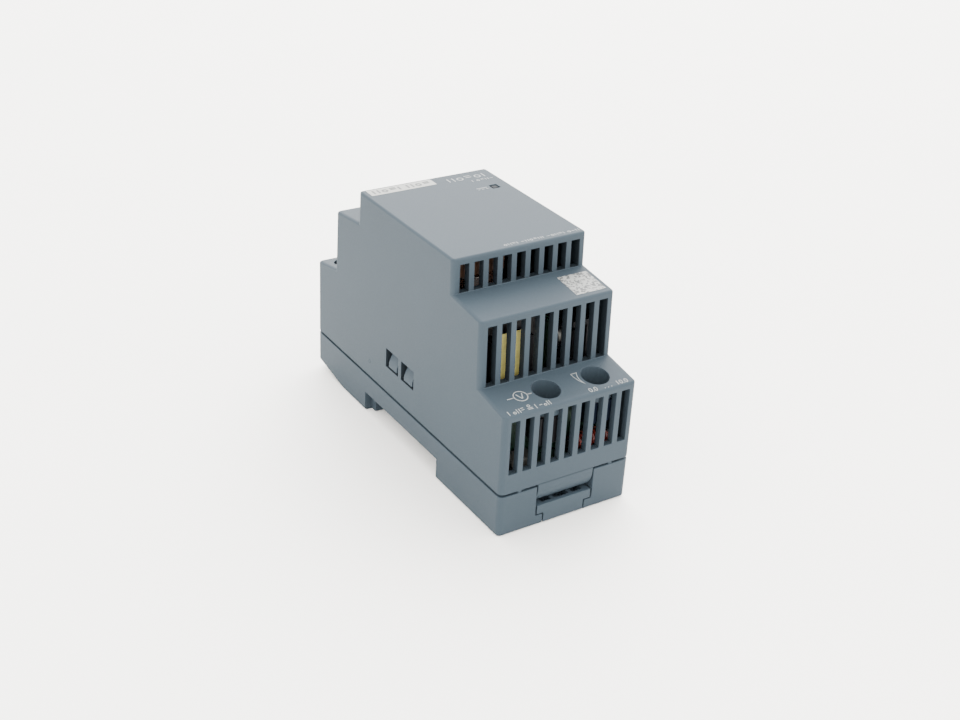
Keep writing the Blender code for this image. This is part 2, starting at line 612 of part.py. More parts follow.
# --- Terminals ----------------------------------------------------------------------------------
def terminal_body(name, xs, centre_y, wire_z, low_z):
    half_x = IN_X - 0.4 * MM
    half_y = POLE_DEPTH / 2
    room_x, room_y = CAGE_WIDTH / 2 + GAP, CAGE_DEPTH / 2 + GAP
    ledge = wire_z + LEDGE_RISE
    entry_z = wire_z - 0.4 * MM
    top = ledge + HEAD_ROOM
    body = boxes(name, ((-half_x, centre_y - half_y, low_z), (half_x, centre_y + half_y, top)))
    cut(body,
        boxes(name + "_rooms", *[((x - room_x, centre_y - room_y, wire_z - CAGE_FLOOR - GAP),
                                  (x + room_x, centre_y + room_y, ledge)) for x in xs]),
        rods(name + "_necks", [(x, centre_y, ledge) for x in xs], SCREW_RADIUS + GAP, 2.2 * MM, segments=12),
        rods(name + "_wells", [(x, centre_y, top) for x in xs], HEAD_RADIUS + GAP,
             2 * (top - ledge - 0.8 * MM)),
        boxes(name + "_entries", *[((x - WIRE_ENTRY / 2, centre_y, entry_z),
                                    (x + WIRE_ENTRY / 2, centre_y + POLE_DEPTH, entry_z + WIRE_ENTRY))
                                   for x in xs]),
        boxes(name + "_bar_slots", *[((x - 1.9 * MM, centre_y - POLE_DEPTH, wire_z + BAR_LIFT - GAP),
                                      (x + 1.9 * MM, centre_y, wire_z + BAR_LIFT + BAR + GAP)) for x in xs]))
    return body


def terminal_pole(tag, x, centre_y, wire_z):
    """The screw, rising cage and contact bar of one pole."""
    ledge = wire_z + LEDGE_RISE
    head = ledge + 0.8 * MM + GAP
    tip = wire_z + BAR_LIFT + BAR + GAP
    screw = turned("screw_" + tag, [
        (0, HEAD_HEIGHT), (HEAD_RADIUS - 0.3 * MM, HEAD_HEIGHT), (HEAD_RADIUS, HEAD_HEIGHT - 0.3 * MM),
        (HEAD_RADIUS, 0), (SCREW_RADIUS, 0), (SCREW_RADIUS, tip - head + 0.4 * MM),
        (SCREW_RADIUS - 0.4 * MM, tip - head), (0, tip - head)], (x, centre_y, head), 16)
    slot = boxes("screw_slot_" + tag, ((x - HEAD_RADIUS - 1 * MM, centre_y - 0.35 * MM, head + 0.8 * MM),
                                       (x + HEAD_RADIUS + 1 * MM, centre_y + 0.35 * MM, head + 3 * MM)))
    cut(screw, slot)
    finish(screw, STEEL, 0.35, 1.0)

    low, high = wire_z - CAGE_FLOOR, wire_z + CAGE_WINDOW + CAGE_ROOF
    cage = boxes("cage_" + tag, ((x - CAGE_WIDTH / 2, centre_y - CAGE_DEPTH / 2, low),
                                 (x + CAGE_WIDTH / 2, centre_y + CAGE_DEPTH / 2, high)))
    window = CAGE_WIDTH / 2 - 0.7 * MM
    cut(cage,
        boxes("cage_window_" + tag, ((x - window, centre_y - CAGE_DEPTH, wire_z),
                                     (x + window, centre_y + CAGE_DEPTH, high - CAGE_ROOF))),
        rods("cage_hole_" + tag, [(x, centre_y, high)], SCREW_RADIUS + GAP, 3 * CAGE_ROOF, segments=12))
    set_origin(cage, (x, centre_y, low))
    finish(cage, TIN, 0.3, 1.0)

    bar_z = wire_z + BAR_LIFT
    back = centre_y - POLE_DEPTH / 2 - GAP - BAR
    contact = boxes("contact_" + tag, ((x - 1.6 * MM, back, bar_z),
                                       (x + 1.6 * MM, centre_y + CAGE_DEPTH / 2 - GAP, bar_z + BAR)))
    join(contact, boxes("contact_pin_" + tag, ((x - 0.8 * MM, back, ON_BOARD),
                                               (x + 0.8 * MM, back + BAR, bar_z + BAR / 2))))
    finish(contact, TIN, 0.3, 1.0)


def make_terminals():
    body = terminal_body("input_terminal_body", INPUT_X, INPUT_Y, INPUT_WIRE_Z, ON_BOARD)
    inner = INPUT_X[1] - CAGE_WIDTH / 2 - GAP - POLE_WALL
    cut(body, boxes("input_terminal_core", ((-inner, INPUT_Y - POLE_DEPTH, ON_BOARD - FLOOR),
                                            (inner, INPUT_FRONT_Y - POLE_WALL, INPUT_WIRE_Z + 10 * MM))))
    finish(body, (0.05, 0.06, 0.07), 0.6)
    low = OUTPUT_WIRE_Z - CAGE_FLOOR - GAP - POLE_WALL
    body = terminal_body("output_terminal_body", OUTPUT_X, OUTPUT_Y, OUTPUT_WIRE_Z, low)
    leg = IN_X - 0.4 * MM
    foot = 1.4 * MM
    join(body, boxes("output_terminal_legs", *[((start, OUTPUT_Y - POLE_DEPTH / 2, ON_BOARD),
                                                (start + foot, OUTPUT_FRONT_Y, low + 0.4 * MM))
                                               for start in (leg - foot, -leg)]))
    finish(body, (0.05, 0.06, 0.07), 0.6)
    rows = (("in", INPUT_X, INPUT_Y, INPUT_WIRE_Z), ("out", OUTPUT_X, OUTPUT_Y, OUTPUT_WIRE_Z))
    for kind, xs, y, wire_z in rows:
        for i, x in enumerate(xs):
            terminal_pole(f"{kind}_{i + 1}", x, y, wire_z)


# --- Transformer --------------------------------------------------------------------------------
def make_transformer():
    x0, y0 = TRANSFORMER_X, TRANSFORMER_Y
    low = ON_BOARD + CORE_LIFT
    half_height = CORE_HEIGHT / 2 - GAP / 2
    for name, flip in (("transformer_core_lower", 1), ("transformer_core_upper", -1)):
        start = low if flip > 0 else low + CORE_HEIGHT
        shape = [(-CORE_HALF_WIDTH, 0), (CORE_HALF_WIDTH, 0), (CORE_HALF_WIDTH, half_height),
                 (CORE_HALF_WIDTH - CORE_LEG, half_height), (CORE_HALF_WIDTH - CORE_LEG, CORE_BACK),
                 (CORE_MIDDLE_HALF, CORE_BACK), (CORE_MIDDLE_HALF, half_height),
                 (-CORE_MIDDLE_HALF, half_height), (-CORE_MIDDLE_HALF, CORE_BACK),
                 (-CORE_HALF_WIDTH + CORE_LEG, CORE_BACK), (-CORE_HALF_WIDTH + CORE_LEG, half_height),
                 (-CORE_HALF_WIDTH, half_height)]
        core = outline(name, [(x0 + x, start + flip * z) for x, z in shape], "Y",
                       y0 - CORE_HALF_DEPTH, y0 + CORE_HALF_DEPTH)
        finish(core, (0.05, 0.045, 0.045), 0.5)

    tube_x, tube_y = CORE_MIDDLE_HALF + GAP, CORE_HALF_DEPTH + GAP
    out_x, out_y = tube_x + BOBBIN_WALL, tube_y + BOBBIN_WALL
    wide_x = CORE_HALF_WIDTH - CORE_LEG - GAP
    wide_y = out_y + GAP + WINDING_DEPTH + GAP
    bottom, top = low + CORE_BACK + GAP, low + CORE_HEIGHT - CORE_BACK - GAP
    bobbin = boxes("transformer_bobbin", ((x0 - out_x, y0 - out_y, bottom), (x0 + out_x, y0 + out_y, top)))
    for name, z in (("bobbin_flange_low", bottom), ("bobbin_flange_high", top - BOBBIN_WALL)):
        join(bobbin, boxes(name, ((x0 - wide_x, y0 - wide_y, z),
                                  (x0 + wide_x, y0 + wide_y, z + BOBBIN_WALL))))
    cut(bobbin, boxes("bobbin_bore", ((x0 - tube_x, y0 - tube_y, bottom - FLOOR),
                                      (x0 + tube_x, y0 + tube_y, top + FLOOR))))
    join(bobbin, boxes("bobbin_feet", *[((x0 - wide_x + 0.2 * MM, y0 + min(a, b), ON_BOARD),
                                         (x0 + wide_x - 0.2 * MM, y0 + max(a, b), bottom + BOBBIN_WALL / 2))
                                        for a, b in ((tube_y + 0.1 * MM, wide_y - 0.2 * MM),
                                                     (-tube_y - 0.1 * MM, 0.2 * MM - wide_y))]))
    finish(bobbin, (0.02, 0.02, 0.02), 0.6)

    ring_x, ring_y = wide_x - GAP, out_y + GAP + WINDING_DEPTH
    z0, z1 = bottom + BOBBIN_WALL + GAP, top - BOBBIN_WALL - GAP
    winding = boxes("transformer_winding", ((x0 - ring_x, y0 - ring_y, z0), (x0 + ring_x, y0 + ring_y, z1)))
    bevel(winding, 1.0 * MM, 2, 60)
    cut(winding, boxes("winding_bore", ((x0 - out_x - GAP, y0 - out_y - GAP, z0 - FLOOR),
                                        (x0 + out_x + GAP, y0 + out_y + GAP, z1 + FLOOR))))
    finish(winding, (0.75, 0.62, 0.12), 0.4)


# --- Capacitors, chokes and small parts ---------------------------------------------------------
def can(name, x, y, radius, height, colour, steps=24):
    """An electrolytic capacitor with a rolled neck."""
    neck = radius - 0.6 * MM
    piece = turned(name, [(0, height), (radius - 0.9 * MM, height), (radius, height - 0.8 * MM),
                          (radius, 3.0 * MM), (neck, 2.4 * MM), (radius, 1.8 * MM), (radius, 0.2 * MM),
                          (radius - 0.2 * MM, 0), (0, 0)], (x, y, ON_BOARD), steps)
    return finish(piece, colour, 0.35)


def disc(name, x, y, radius, thickness, colour):
    """A coated disc part that stands on edge, lying in the plane of the width."""
    legs = radius + 1.2 * MM
    piece = rods(name, [(x, y, ON_BOARD + legs)], radius, thickness, "Y", 20)
    bevel(piece, 0.8 * MM, 1)
    join(piece, boxes(name + "_legs", *[((x + s * radius / 2 - 0.3 * MM, y - 0.3 * MM, ON_BOARD),
                                         (x + s * radius / 2 + 0.3 * MM, y + 0.3 * MM, ON_BOARD + legs / 2))
                                        for s in (-1, 1)]))
    return finish(piece, colour, 0.4)


def line_choke():
    x0, y0 = LINE_CHOKE
    low = ON_BOARD + 1.0 * MM
    high = low + LINE_CHOKE_HEIGHT
    limb, depth = LINE_CHOKE_LIMB / 2, LINE_CHOKE_DEPTH / 2
    outer = LINE_CHOKE_REACH + limb
    eye = LINE_CHOKE_REACH - limb
    core = boxes("line_choke_core", ((x0 - outer, y0 - depth, low), (x0 + outer, y0 + depth, high)))
    cut(core, boxes("line_choke_eye", ((x0 - eye, y0 - 2 * depth, low + LINE_CHOKE_LIMB),
                                       (x0 + eye, y0 + 2 * depth, high - LINE_CHOKE_LIMB))))
    finish(core, (0.05, 0.05, 0.05), 0.5)
    coil_depth = depth + LINE_COIL_BUILD
    z0, z1 = low + LINE_CHOKE_LIMB + 0.4 * MM, high - LINE_CHOKE_LIMB - 0.4 * MM
    for name, side in (("line_choke_winding_1", -1), ("line_choke_winding_2", 1)):
        x = x0 + side * LINE_CHOKE_REACH
        coil = boxes(name, ((x - LINE_COIL_WIDTH / 2, y0 - coil_depth, z0),
                            (x + LINE_COIL_WIDTH / 2, y0 + coil_depth, z1)))
        bevel(coil, 0.8 * MM, 2, 60)
        cut(coil, boxes(name + "_bore", ((x - limb - GAP, y0 - depth - GAP, z0 - FLOOR),
                                         (x + limb + GAP, y0 + depth + GAP, z1 + FLOOR))))
        finish(coil, (0.45, 0.16, 0.05), 0.35, 0.6)


def output_choke():
    x0 = TRIMMER_X - 0.6 * MM
    y0 = -END_Y + WALL + CHOKE_RADIUS + 0.7 * MM
    z0 = ON_BOARD + CHOKE_RADIUS + 0.1 * MM
    core_radius = 1.2 * MM
    core = rods("output_choke_core", [(x0, y0, z0)], core_radius, CHOKE_LENGTH + 1.6 * MM, "X", 12)
    finish(core, (0.05, 0.05, 0.05), 0.5)
    coil = rods("output_choke_winding", [(x0, y0, z0)], CHOKE_RADIUS, CHOKE_LENGTH, "X", 20)
    bevel(coil, 0.4 * MM, 1, 60)
    cut(coil, rods("output_choke_bore", [(x0, y0, z0)], core_radius + GAP, 2 * CHOKE_LENGTH, "X", 12))
    finish(coil, (0.5, 0.08, 0.05), 0.3, 0.4)


def power_device(device, sink, screw, low_y):
    """A flat heat sink standing along one side, with a tabbed semiconductor screwed to its inner face."""
    face = SINK_X - SINK_THICKNESS
    high_y, top = low_y + SINK_LENGTH, ON_BOARD + SINK_HEIGHT
    middle = (low_y + high_y) / 2
    hole_z = ON_BOARD + DEVICE_SCREW
    plate = boxes(sink, ((face, low_y, ON_BOARD), (SINK_X, high_y, top)))
    join(plate, boxes(sink + "_flange", ((face - 4 * MM, low_y, top - SINK_THICKNESS),
                                         (face + 0.5 * MM, high_y, top))))
    cut(plate,
        rods(sink + "_hole", [(face, middle, hole_z)], SCREW_RADIUS + GAP, 4 * SINK_THICKNESS, "X", 12))
    finish(plate, (0.6, 0.6, 0.6), 0.4, 1.0)

    back = face - GAP
    left, right = middle - DEVICE_HALF, middle + DEVICE_HALF
    body = boxes(device, ((back - DEVICE_DEPTH, left, ON_BOARD + DEVICE_LOW),
                          (back, right, ON_BOARD + DEVICE_HIGH)))
    bevel(body, 0.4 * MM)
    join(body,
         boxes(device + "_tab", ((back - DEVICE_TAB, left, ON_BOARD + DEVICE_HIGH - 1 * MM),
                                 (back, right, ON_BOARD + DEVICE_TOP))),
         boxes(device + "_legs", *[((back - 2.6 * MM, middle + i * LEAD_PITCH - 0.4 * MM, ON_BOARD),
                                    (back - 2.1 * MM, middle + i * LEAD_PITCH + 0.4 * MM,
                                     ON_BOARD + DEVICE_LOW + 1 * MM)) for i in (-1, 0, 1)]))
    cut(body, rods(device + "_hole", [(back, middle, hole_z)], SCREW_RADIUS + GAP, 4 * MM, "X", 12))
    finish(body, BLACK, 0.4)

    head = back - DEVICE_TAB - GAP
    tip = SINK_X + 0.2 * MM
    head_height = 1.8 * MM
    start = head - head_height / 2
    bolt = rods(screw, [(start, middle, hole_z)], 2.7 * MM, head_height, "X", 14)
    join(bolt, rods(screw + "_shank", [((start + tip) / 2, middle, hole_z)], SCREW_RADIUS, tip - start,
                    "X", 12))
    finish(bolt, STEEL, 0.3, 1.0)


def make_power_parts():
    can("bulk_capacitor", -IN_X + BULK_RADIUS + 1.7 * MM, TRANSFORMER_Y + 15.4 * MM,
        BULK_RADIUS, BULK_HEIGHT, (0.28, 0.12, 0.04), 32)
    for i, y in enumerate(OUTPUT_CAN_Y):
        can(f"output_capacitor_{i + 1}", -IN_X + OUTPUT_CAN_RADIUS + 2.2 * MM, y,
            OUTPUT_CAN_RADIUS, OUTPUT_CAN_HEIGHT, (0.02, 0.03, 0.08), 20)
    line_choke()
    output_choke()
    power_device("output_diode", "output_heat_sink", "output_heat_sink_screw",
                 NEAR_RISER_Y + WALL + 1.6 * MM)
    power_device("power_transistor", "power_heat_sink", "power_heat_sink_screw", POWER_SINK_Y)

    back_y = OUTPUT_Y - POLE_DEPTH / 2
    pin_y = back_y - GAP - BAR
    for name, size, centre, colour in (
            ("x_capacitor", X_CAPACITOR, (0.2 * MM, back_y + 4.5 * MM), (0.75, 0.6, 0.08)),
            ("bridge_rectifier", BRIDGE, (-5 * MM, pin_y - 2.0 * MM), BLACK),
            ("optocoupler", OPTOCOUPLER, (-9.2 * MM, NEAR_HOLE_Y + 0.7 * MM), (0.8, 0.8, 0.78))):
        piece = seated(name, size, centre, ON_BOARD)
        bevel(piece, 0.4 * MM)
        finish(piece, colour, 0.45)
    edge = 0.4 * MM
    fuse = turned("fuse", [(0, FUSE_HEIGHT), (FUSE_RADIUS - edge, FUSE_HEIGHT),
                           (FUSE_RADIUS, FUSE_HEIGHT - edge), (FUSE_RADIUS, edge),
                           (FUSE_RADIUS - edge, 0), (0, 0)],
                  (9.8 * MM, back_y + 4.4 * MM, ON_BOARD), 20)
    finish(fuse, (0.04, 0.04, 0.04), 0.4)
    disc("varistor", VARISTOR_X, back_y + 4 * MM, 4.2 * MM, 3.6 * MM, (0.03, 0.12, 0.45))
    disc("thermistor", THERMISTOR_X, pin_y - 2.0 * MM, 3.5 * MM, 2.6 * MM, (0.05, 0.1, 0.05))
    disc("y_capacitor", *Y_CAPACITOR, 3.7 * MM, 2.8 * MM, (0.06, 0.2, 0.5))


# --- Front controls and indicator ---------------------------------------------------------------
def make_controls():
    back = FRONT_BOARD_Y - SMALL_BOARD - GAP
    front = NEAR_HOLE_Y - CONTROL_HALF
    top = tread_height(NEAR_HOLE_Y) - WALL - CONTROL_SINK
    socket = boxes("test_socket", ((SOCKET_X - CONTROL_HALF, front, top - SOCKET_HEIGHT),
                                   (SOCKET_X + CONTROL_HALF, back, top)))
    bevel(socket, 0.4 * MM)
    holes = [(SOCKET_X + side * SOCKET_PITCH / 2, NEAR_HOLE_Y, top) for side in (-1, 1)]
    cut(socket, rods("test_socket_holes", holes, 0.6 * MM, 8 * MM, segments=10))
    finish(socket, BLACK, 0.5)

    spot = (TRIMMER_X, NEAR_HOLE_Y, top)
    body = boxes("trimmer_body", ((TRIMMER_X - CONTROL_HALF, front, top - TRIMMER_HEIGHT),
                                  (TRIMMER_X + CONTROL_HALF, back, top)))
    cut(body, rods("trimmer_well", [spot], ROTOR_RADIUS + GAP, 2 * (ROTOR_SINK + GAP), segments=20))
    finish(body, (0.05, 0.18, 0.5), 0.5)
    edge = 0.3 * MM
    rotor = turned("trimmer_rotor", [(0, ROTOR_RISE), (ROTOR_RADIUS - edge, ROTOR_RISE),
                                     (ROTOR_RADIUS, ROTOR_RISE - edge), (ROTOR_RADIUS, -ROTOR_SINK),
                                     (0, -ROTOR_SINK)], spot, 20)
    slot_half, slot_reach = 0.35 * MM, ROTOR_RADIUS + WALL
    cut(rotor, boxes("trimmer_slot", ((TRIMMER_X - slot_half, NEAR_HOLE_Y - slot_reach, top),
                                      (TRIMMER_X + slot_half, NEAR_HOLE_Y + slot_reach, top + WALL))))
    finish(rotor, (0.85, 0.85, 0.82), 0.5)

    half = LIGHT_PIPE / 2
    collar, collar_top = half + 0.8 * MM, HEIGHT - WALL - GAP
    low = HEIGHT - LIGHT_PIPE_DEPTH
    pipe = boxes("light_pipe", ((LED_X - half, LED_Y - half, low),
                                (LED_X + half, LED_Y + half, HEIGHT - 0.1 * MM)))
    join(pipe, boxes("light_pipe_collar", ((LED_X - collar, LED_Y - collar, collar_top - 0.8 * MM),
                                           (LED_X + collar, LED_Y + collar, collar_top))))
    finish(pipe, (0.5, 0.52, 0.5), 0.15)
    led_height, lead, lead_pitch = 4 * MM, 0.5 * MM, 1.4 * MM
    led_middle = (LED_X, LED_Y, low - GAP - led_height / 2)
    led = rods("indicator_led", [led_middle], 1.3 * MM, led_height, segments=14)
    join(led, boxes("indicator_leads", *[((x - lead / 2, LED_Y - lead / 2, ON_BOARD),
                                          (x + lead / 2, LED_Y + lead / 2, low - led_height + 1 * MM))
                                         for x in (LED_X - lead_pitch / 2, LED_X + lead_pitch / 2)]))
    finish(led, (0.3, 0.6, 0.3), 0.2)


clear_scene()
make_hood()
make_base()
make_latch()
make_boards()
make_terminals()
make_transformer()
make_power_parts()
make_controls()
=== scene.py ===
"""Looks for a DIN rail power supply: fine casing, printed marks, terminals and the parts inside.

Lengths are in metres; MM turns millimetres into metres. X is the width, +Y points to the terminal end
and +Z away from the rail.
"""
import json
import math
from contextlib import contextmanager

import bmesh
import bpy
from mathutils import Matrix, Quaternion, Vector


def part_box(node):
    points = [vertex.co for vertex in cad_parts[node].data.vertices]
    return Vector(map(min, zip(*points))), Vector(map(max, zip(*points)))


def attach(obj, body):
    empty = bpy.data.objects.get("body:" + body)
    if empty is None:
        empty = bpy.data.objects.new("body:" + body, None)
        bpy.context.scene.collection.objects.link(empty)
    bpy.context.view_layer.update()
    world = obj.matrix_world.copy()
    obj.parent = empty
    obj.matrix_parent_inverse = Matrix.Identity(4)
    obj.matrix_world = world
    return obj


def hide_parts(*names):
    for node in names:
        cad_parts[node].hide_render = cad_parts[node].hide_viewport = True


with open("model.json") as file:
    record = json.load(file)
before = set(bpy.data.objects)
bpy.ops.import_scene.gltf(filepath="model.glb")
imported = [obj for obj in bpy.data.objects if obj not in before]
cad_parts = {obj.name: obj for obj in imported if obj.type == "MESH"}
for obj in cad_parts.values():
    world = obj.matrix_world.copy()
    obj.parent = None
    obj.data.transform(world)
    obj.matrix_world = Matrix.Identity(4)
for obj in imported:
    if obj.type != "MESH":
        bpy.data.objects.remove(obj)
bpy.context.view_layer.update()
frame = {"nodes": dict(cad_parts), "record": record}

MM = 0.001

# --- Casing, as the frame's hood and base have it ---
HALF_W, END_Y, TOP_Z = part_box("hood")[1]
WALL = 1.7 * MM
GAP = 0.3 * MM
SEAM_Z = 10.6 * MM
HOOD_Z = 11.25 * MM
END_DRAFT = 0.15 * MM
CORNER = 1.3 * MM                 # rounding of the upright corners
RIM = 0.5                         # rounding of the other outer edges, as a share of CORNER
CRISP = 0.12 * MM                 # rounding of slots and openings
PROFILE = (                       # the hood's steps as (y, z), from the vent end to the terminal end
    (-END_Y + END_DRAFT, 31.3 * MM), (-34.2 * MM, 33.0 * MM), (-33.6 * MM, 49.3 * MM),
    (-21.6 * MM, 50.6 * MM), (-21.3 * MM, TOP_Z), (22.6 * MM, TOP_Z), (22.9 * MM, 50.6 * MM),
    (34.45 * MM, 49.3 * MM), (35.05 * MM, 33.0 * MM), (END_Y - END_DRAFT, 31.3 * MM),
)
RISER_FEET = (1, 3, 6, 8)         # points of that outline where a riser stands on a tread

# --- Vents, windows and openings ---
SLOTS = 9
SLOT_PITCH = 3.74 * MM
SLOT_WIDTH = 2.3 * MM
SLOT_ROWS = (                     # face, bottom, top and finish index of each row; the finish is a darker casing copy, painted shade on the slot walls
    (-END_Y, 16.2 * MM, 29.7 * MM, 2),
    (-34.2 * MM, 33.12 * MM, 47.7 * MM, 1),
    (-21.6 * MM, 50.72 * MM, 57.4 * MM, 1),
)
WINDOW_Y = (-2.85 * MM, 4.65 * MM)
WINDOW_LENGTH = 6.0 * MM
WINDOW_LOW, WINDOW_HIGH = 18.2 * MM, 23.2 * MM
NEAR_HOLE_Y = -39.4 * MM
NEAR_HOLE_RADIUS = 3.35 * MM
COLLAR_Z = 27.4 * MM              # lower end of the collars under the near holes
SOCKET_X, TRIMMER_X = -3.6 * MM, 9.9 * MM
INPUT_POLES = [(x * MM, 39.05 * MM) for x in (-12.5, 12.5)]
OUTPUT_POLES = [((i - 1.5) * 7.5 * MM, 28.65 * MM) for i in range(4)]
INPUT_HOLE_RADIUS, OUTPUT_HOLE_RADIUS = 3.35 * MM, 2.75 * MM
INPUT_WIRE_Z, OUTPUT_WIRE_Z = 16.6 * MM, 33.5 * MM
OUTPUT_FACE_Y = PROFILE[8][0]
WIRE_ENTRY = 4.4 * MM
LED_X, LED_Y, LED_HALF = 13.5 * MM, 11.1 * MM, 1.1 * MM

# --- Base and latch ---
SEAT_Z = 5.4 * MM
RECESS = (-17.5 * MM, 18.2 * MM)
SOLE_END_Y = 31.1 * MM            # where the far foot starts to rise
TOE_Z = 2.4 * MM
RIM_WALL = 3.0 * MM
FLOOR_Z = 7.3 * MM                # top of the base's floor
FLOOR = 1.7 * MM
LATCH_HALF = 7.5 * MM
STEM_HALF = 5.6 * MM
WING_Z = 2.95 * MM
LATCH_TOP = 5.3 * MM
TONGUE_RADIUS = 5.5 * MM
TONGUE_Z = 5.73 * MM
TONGUE_BACK = -41.0 * MM
ARM_WIDTH = 4.0 * MM
HOOK_HALF = 3.25 * MM
HOOK_TOP = 4.1 * MM               # top of the fixed hooks and of the latch's nose, under the rail


NODES = frame["nodes"]
BODY_OF = {node: body for body, nodes in frame["record"]["behaviour"]["bodies"].items() for node in nodes}
SLOT_OF = {part["node"]: part["material_slot"] for part in frame["record"]["subparts"]}


# --- Modelling tools ---
def take(piece):
    """Makes a piece the only selected one and the active one."""
    bpy.ops.object.select_all(action="DESELECT")
    piece.select_set(True)
    bpy.context.view_layer.objects.active = piece


def settle(piece, name):
    """Names the piece and puts its place, turn and scale into its mesh."""
    piece.name = piece.data.name = name
    take(piece)
    bpy.ops.object.transform_apply(location=True, rotation=True, scale=True)
    return piece


def block(name, low, high):
    low, high = Vector(low), Vector(high)
    bpy.ops.object.select_all(action="DESELECT")
    bpy.ops.mesh.primitive_cube_add(size=1, location=(low + high) / 2, scale=high - low)
    return settle(bpy.context.object, name)


TURNS = {"X": (0, math.pi / 2, 0), "Y": (math.pi / 2, 0, 0), "Z": (0, 0, 0)}


def rod(name, centre, radius, length, axis="Z", sides=32):
    bpy.ops.object.select_all(action="DESELECT")
    bpy.ops.mesh.primitive_cylinder_add(vertices=sides, radius=radius, depth=length, location=centre,
                                        rotation=TURNS[axis])
    return settle(bpy.context.object, name)


@contextmanager
def editing(piece, kind="EDGE"):
    """Edit mode with nothing selected."""
    take(piece)
    bpy.ops.object.mode_set(mode="EDIT")
    bpy.ops.mesh.select_mode(type=kind)
    bpy.ops.mesh.select_all(action="DESELECT")
    yield
    bpy.ops.object.mode_set(mode="OBJECT")


def pick_verts(piece, wanted):
    bm = bmesh.from_edit_mesh(piece.data)
    for vert in bm.verts:
        if wanted(vert.co):
            vert.select_set(True)
    bm.select_flush_mode()
    bmesh.update_edit_mesh(piece.data)


def pick_edges(piece, wanted):
    """Selects the edges whose two ends pass the test."""
    bm = bmesh.from_edit_mesh(piece.data)
    for edge in bm.edges:
        if wanted(*(vert.co for vert in edge.verts)):
            edge.select_set(True)
    bmesh.update_edit_mesh(piece.data)


def round_edges(piece, wanted, width, segments=3):
    with editing(piece):
        pick_edges(piece, wanted)
        bpy.ops.mesh.bevel(offset=width, segments=segments, affect="EDGES", clamp_overlap=False)


def use(piece, kind, **settings):
    """Adds a modifier, sets it and applies it."""
    take(piece)
    change = piece.modifiers.new(kind.lower(), kind)
    for key, value in settings.items():
        setattr(change, key, value)
    bpy.ops.object.modifier_apply(modifier=change.name)
    return piece


def carve(piece, *tools, operation="DIFFERENCE"):
    for tool in tools:
        use(piece, "BOOLEAN", operation=operation, solver="EXACT", object=tool)
        bpy.data.objects.remove(tool)
    return piece


def add(piece, *others):
    return carve(piece, *others, operation="UNION")


def row_of(piece, count, step):
    """The piece repeated along a line."""
    return use(piece, "ARRAY", count=count, use_relative_offset=False, use_constant_offset=True,
               constant_offset_displace=step)


def soften(piece, width=CRISP, segments=2, angle=38):
    """Rounds every sharp edge a little and shades the piece smooth."""
    if width:
        use(piece, "TRIANGULATE", min_vertices=5)
        use(piece, "BEVEL", width=width, segments=segments, limit_method="ANGLE",
            angle_limit=math.radians(angle), use_clamp_overlap=False, miter_outer="MITER_ARC")
    take(piece)
    bpy.ops.object.shade_smooth_by_angle(angle=math.radians(40))
    return use(piece, "WEIGHTED_NORMAL", keep_sharp=True)


def same(a, b, tolerance=0.02 * MM):
    return abs(a - b) < tolerance


# The casing plastic, then two darker copies of it that paint shade on the inner walls.
CASING_AND_PAINTED_SHADE_FINISHES = ("casing_plastic", "casing_painted_shade", "casing_painted_soft_shade")


def lined(cutter, index=1):
    """A cutter whose faces bring their own material to the wall that they leave: a darker copy of the casing
    plastic, painted shade on the walls of the hollow, slots and windows.
    """
    for name in CASING_AND_PAINTED_SHADE_FINISHES:
        cutter.data.materials.append(FINISHES[name])
    for face in cutter.data.polygons:
        face.material_index = index
    return cutter


def dress(piece, finish, body, *nodes):
    """Gives a finished piece its material and its body, and hides the frame nodes that it stands for."""
    if len(piece.data.materials) < 2:
        piece.data.materials.clear()
        piece.data.materials.append(FINISHES[finish])
    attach(piece, body)
    if nodes:
        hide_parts(*nodes)
    return piece


def copied(piece, name, shift=(0, 0, 0)):
    """A copy with its own mesh, moved by the shift."""
    other = bpy.data.objects.new(name, piece.data.copy())
    bpy.context.scene.collection.objects.link(other)
    other.location = shift
    return settle(other, name)


def joined(name, *pieces):
    """The pieces as one object, their shells kept apart."""
    bpy.ops.object.select_all(action="DESELECT")
    for piece in pieces:
        piece.select_set(True)
    bpy.context.view_layer.objects.active = pieces[0]
    bpy.ops.object.join()
    return settle(bpy.context.object, name)


def refined(node, width=CRISP, segments=2, cuts=(), extras=()):
    """A finer stand-in for a frame node: a merged copy with flat sides whole again and edges rounded."""
    piece = copied(NODES[node], node + "_fine")
    with editing(piece):
        bpy.ops.mesh.select_all(action="SELECT")
        bpy.ops.mesh.remove_doubles(threshold=0.001 * MM)
        bpy.ops.mesh.dissolve_limited(angle_limit=math.radians(0.5))
    if cuts:
        carve(piece, *cuts)
    if extras:
        add(piece, *extras)
    soften(piece, width, segments)
    return dress(piece, SLOT_OF[node], BODY_OF[node], node)


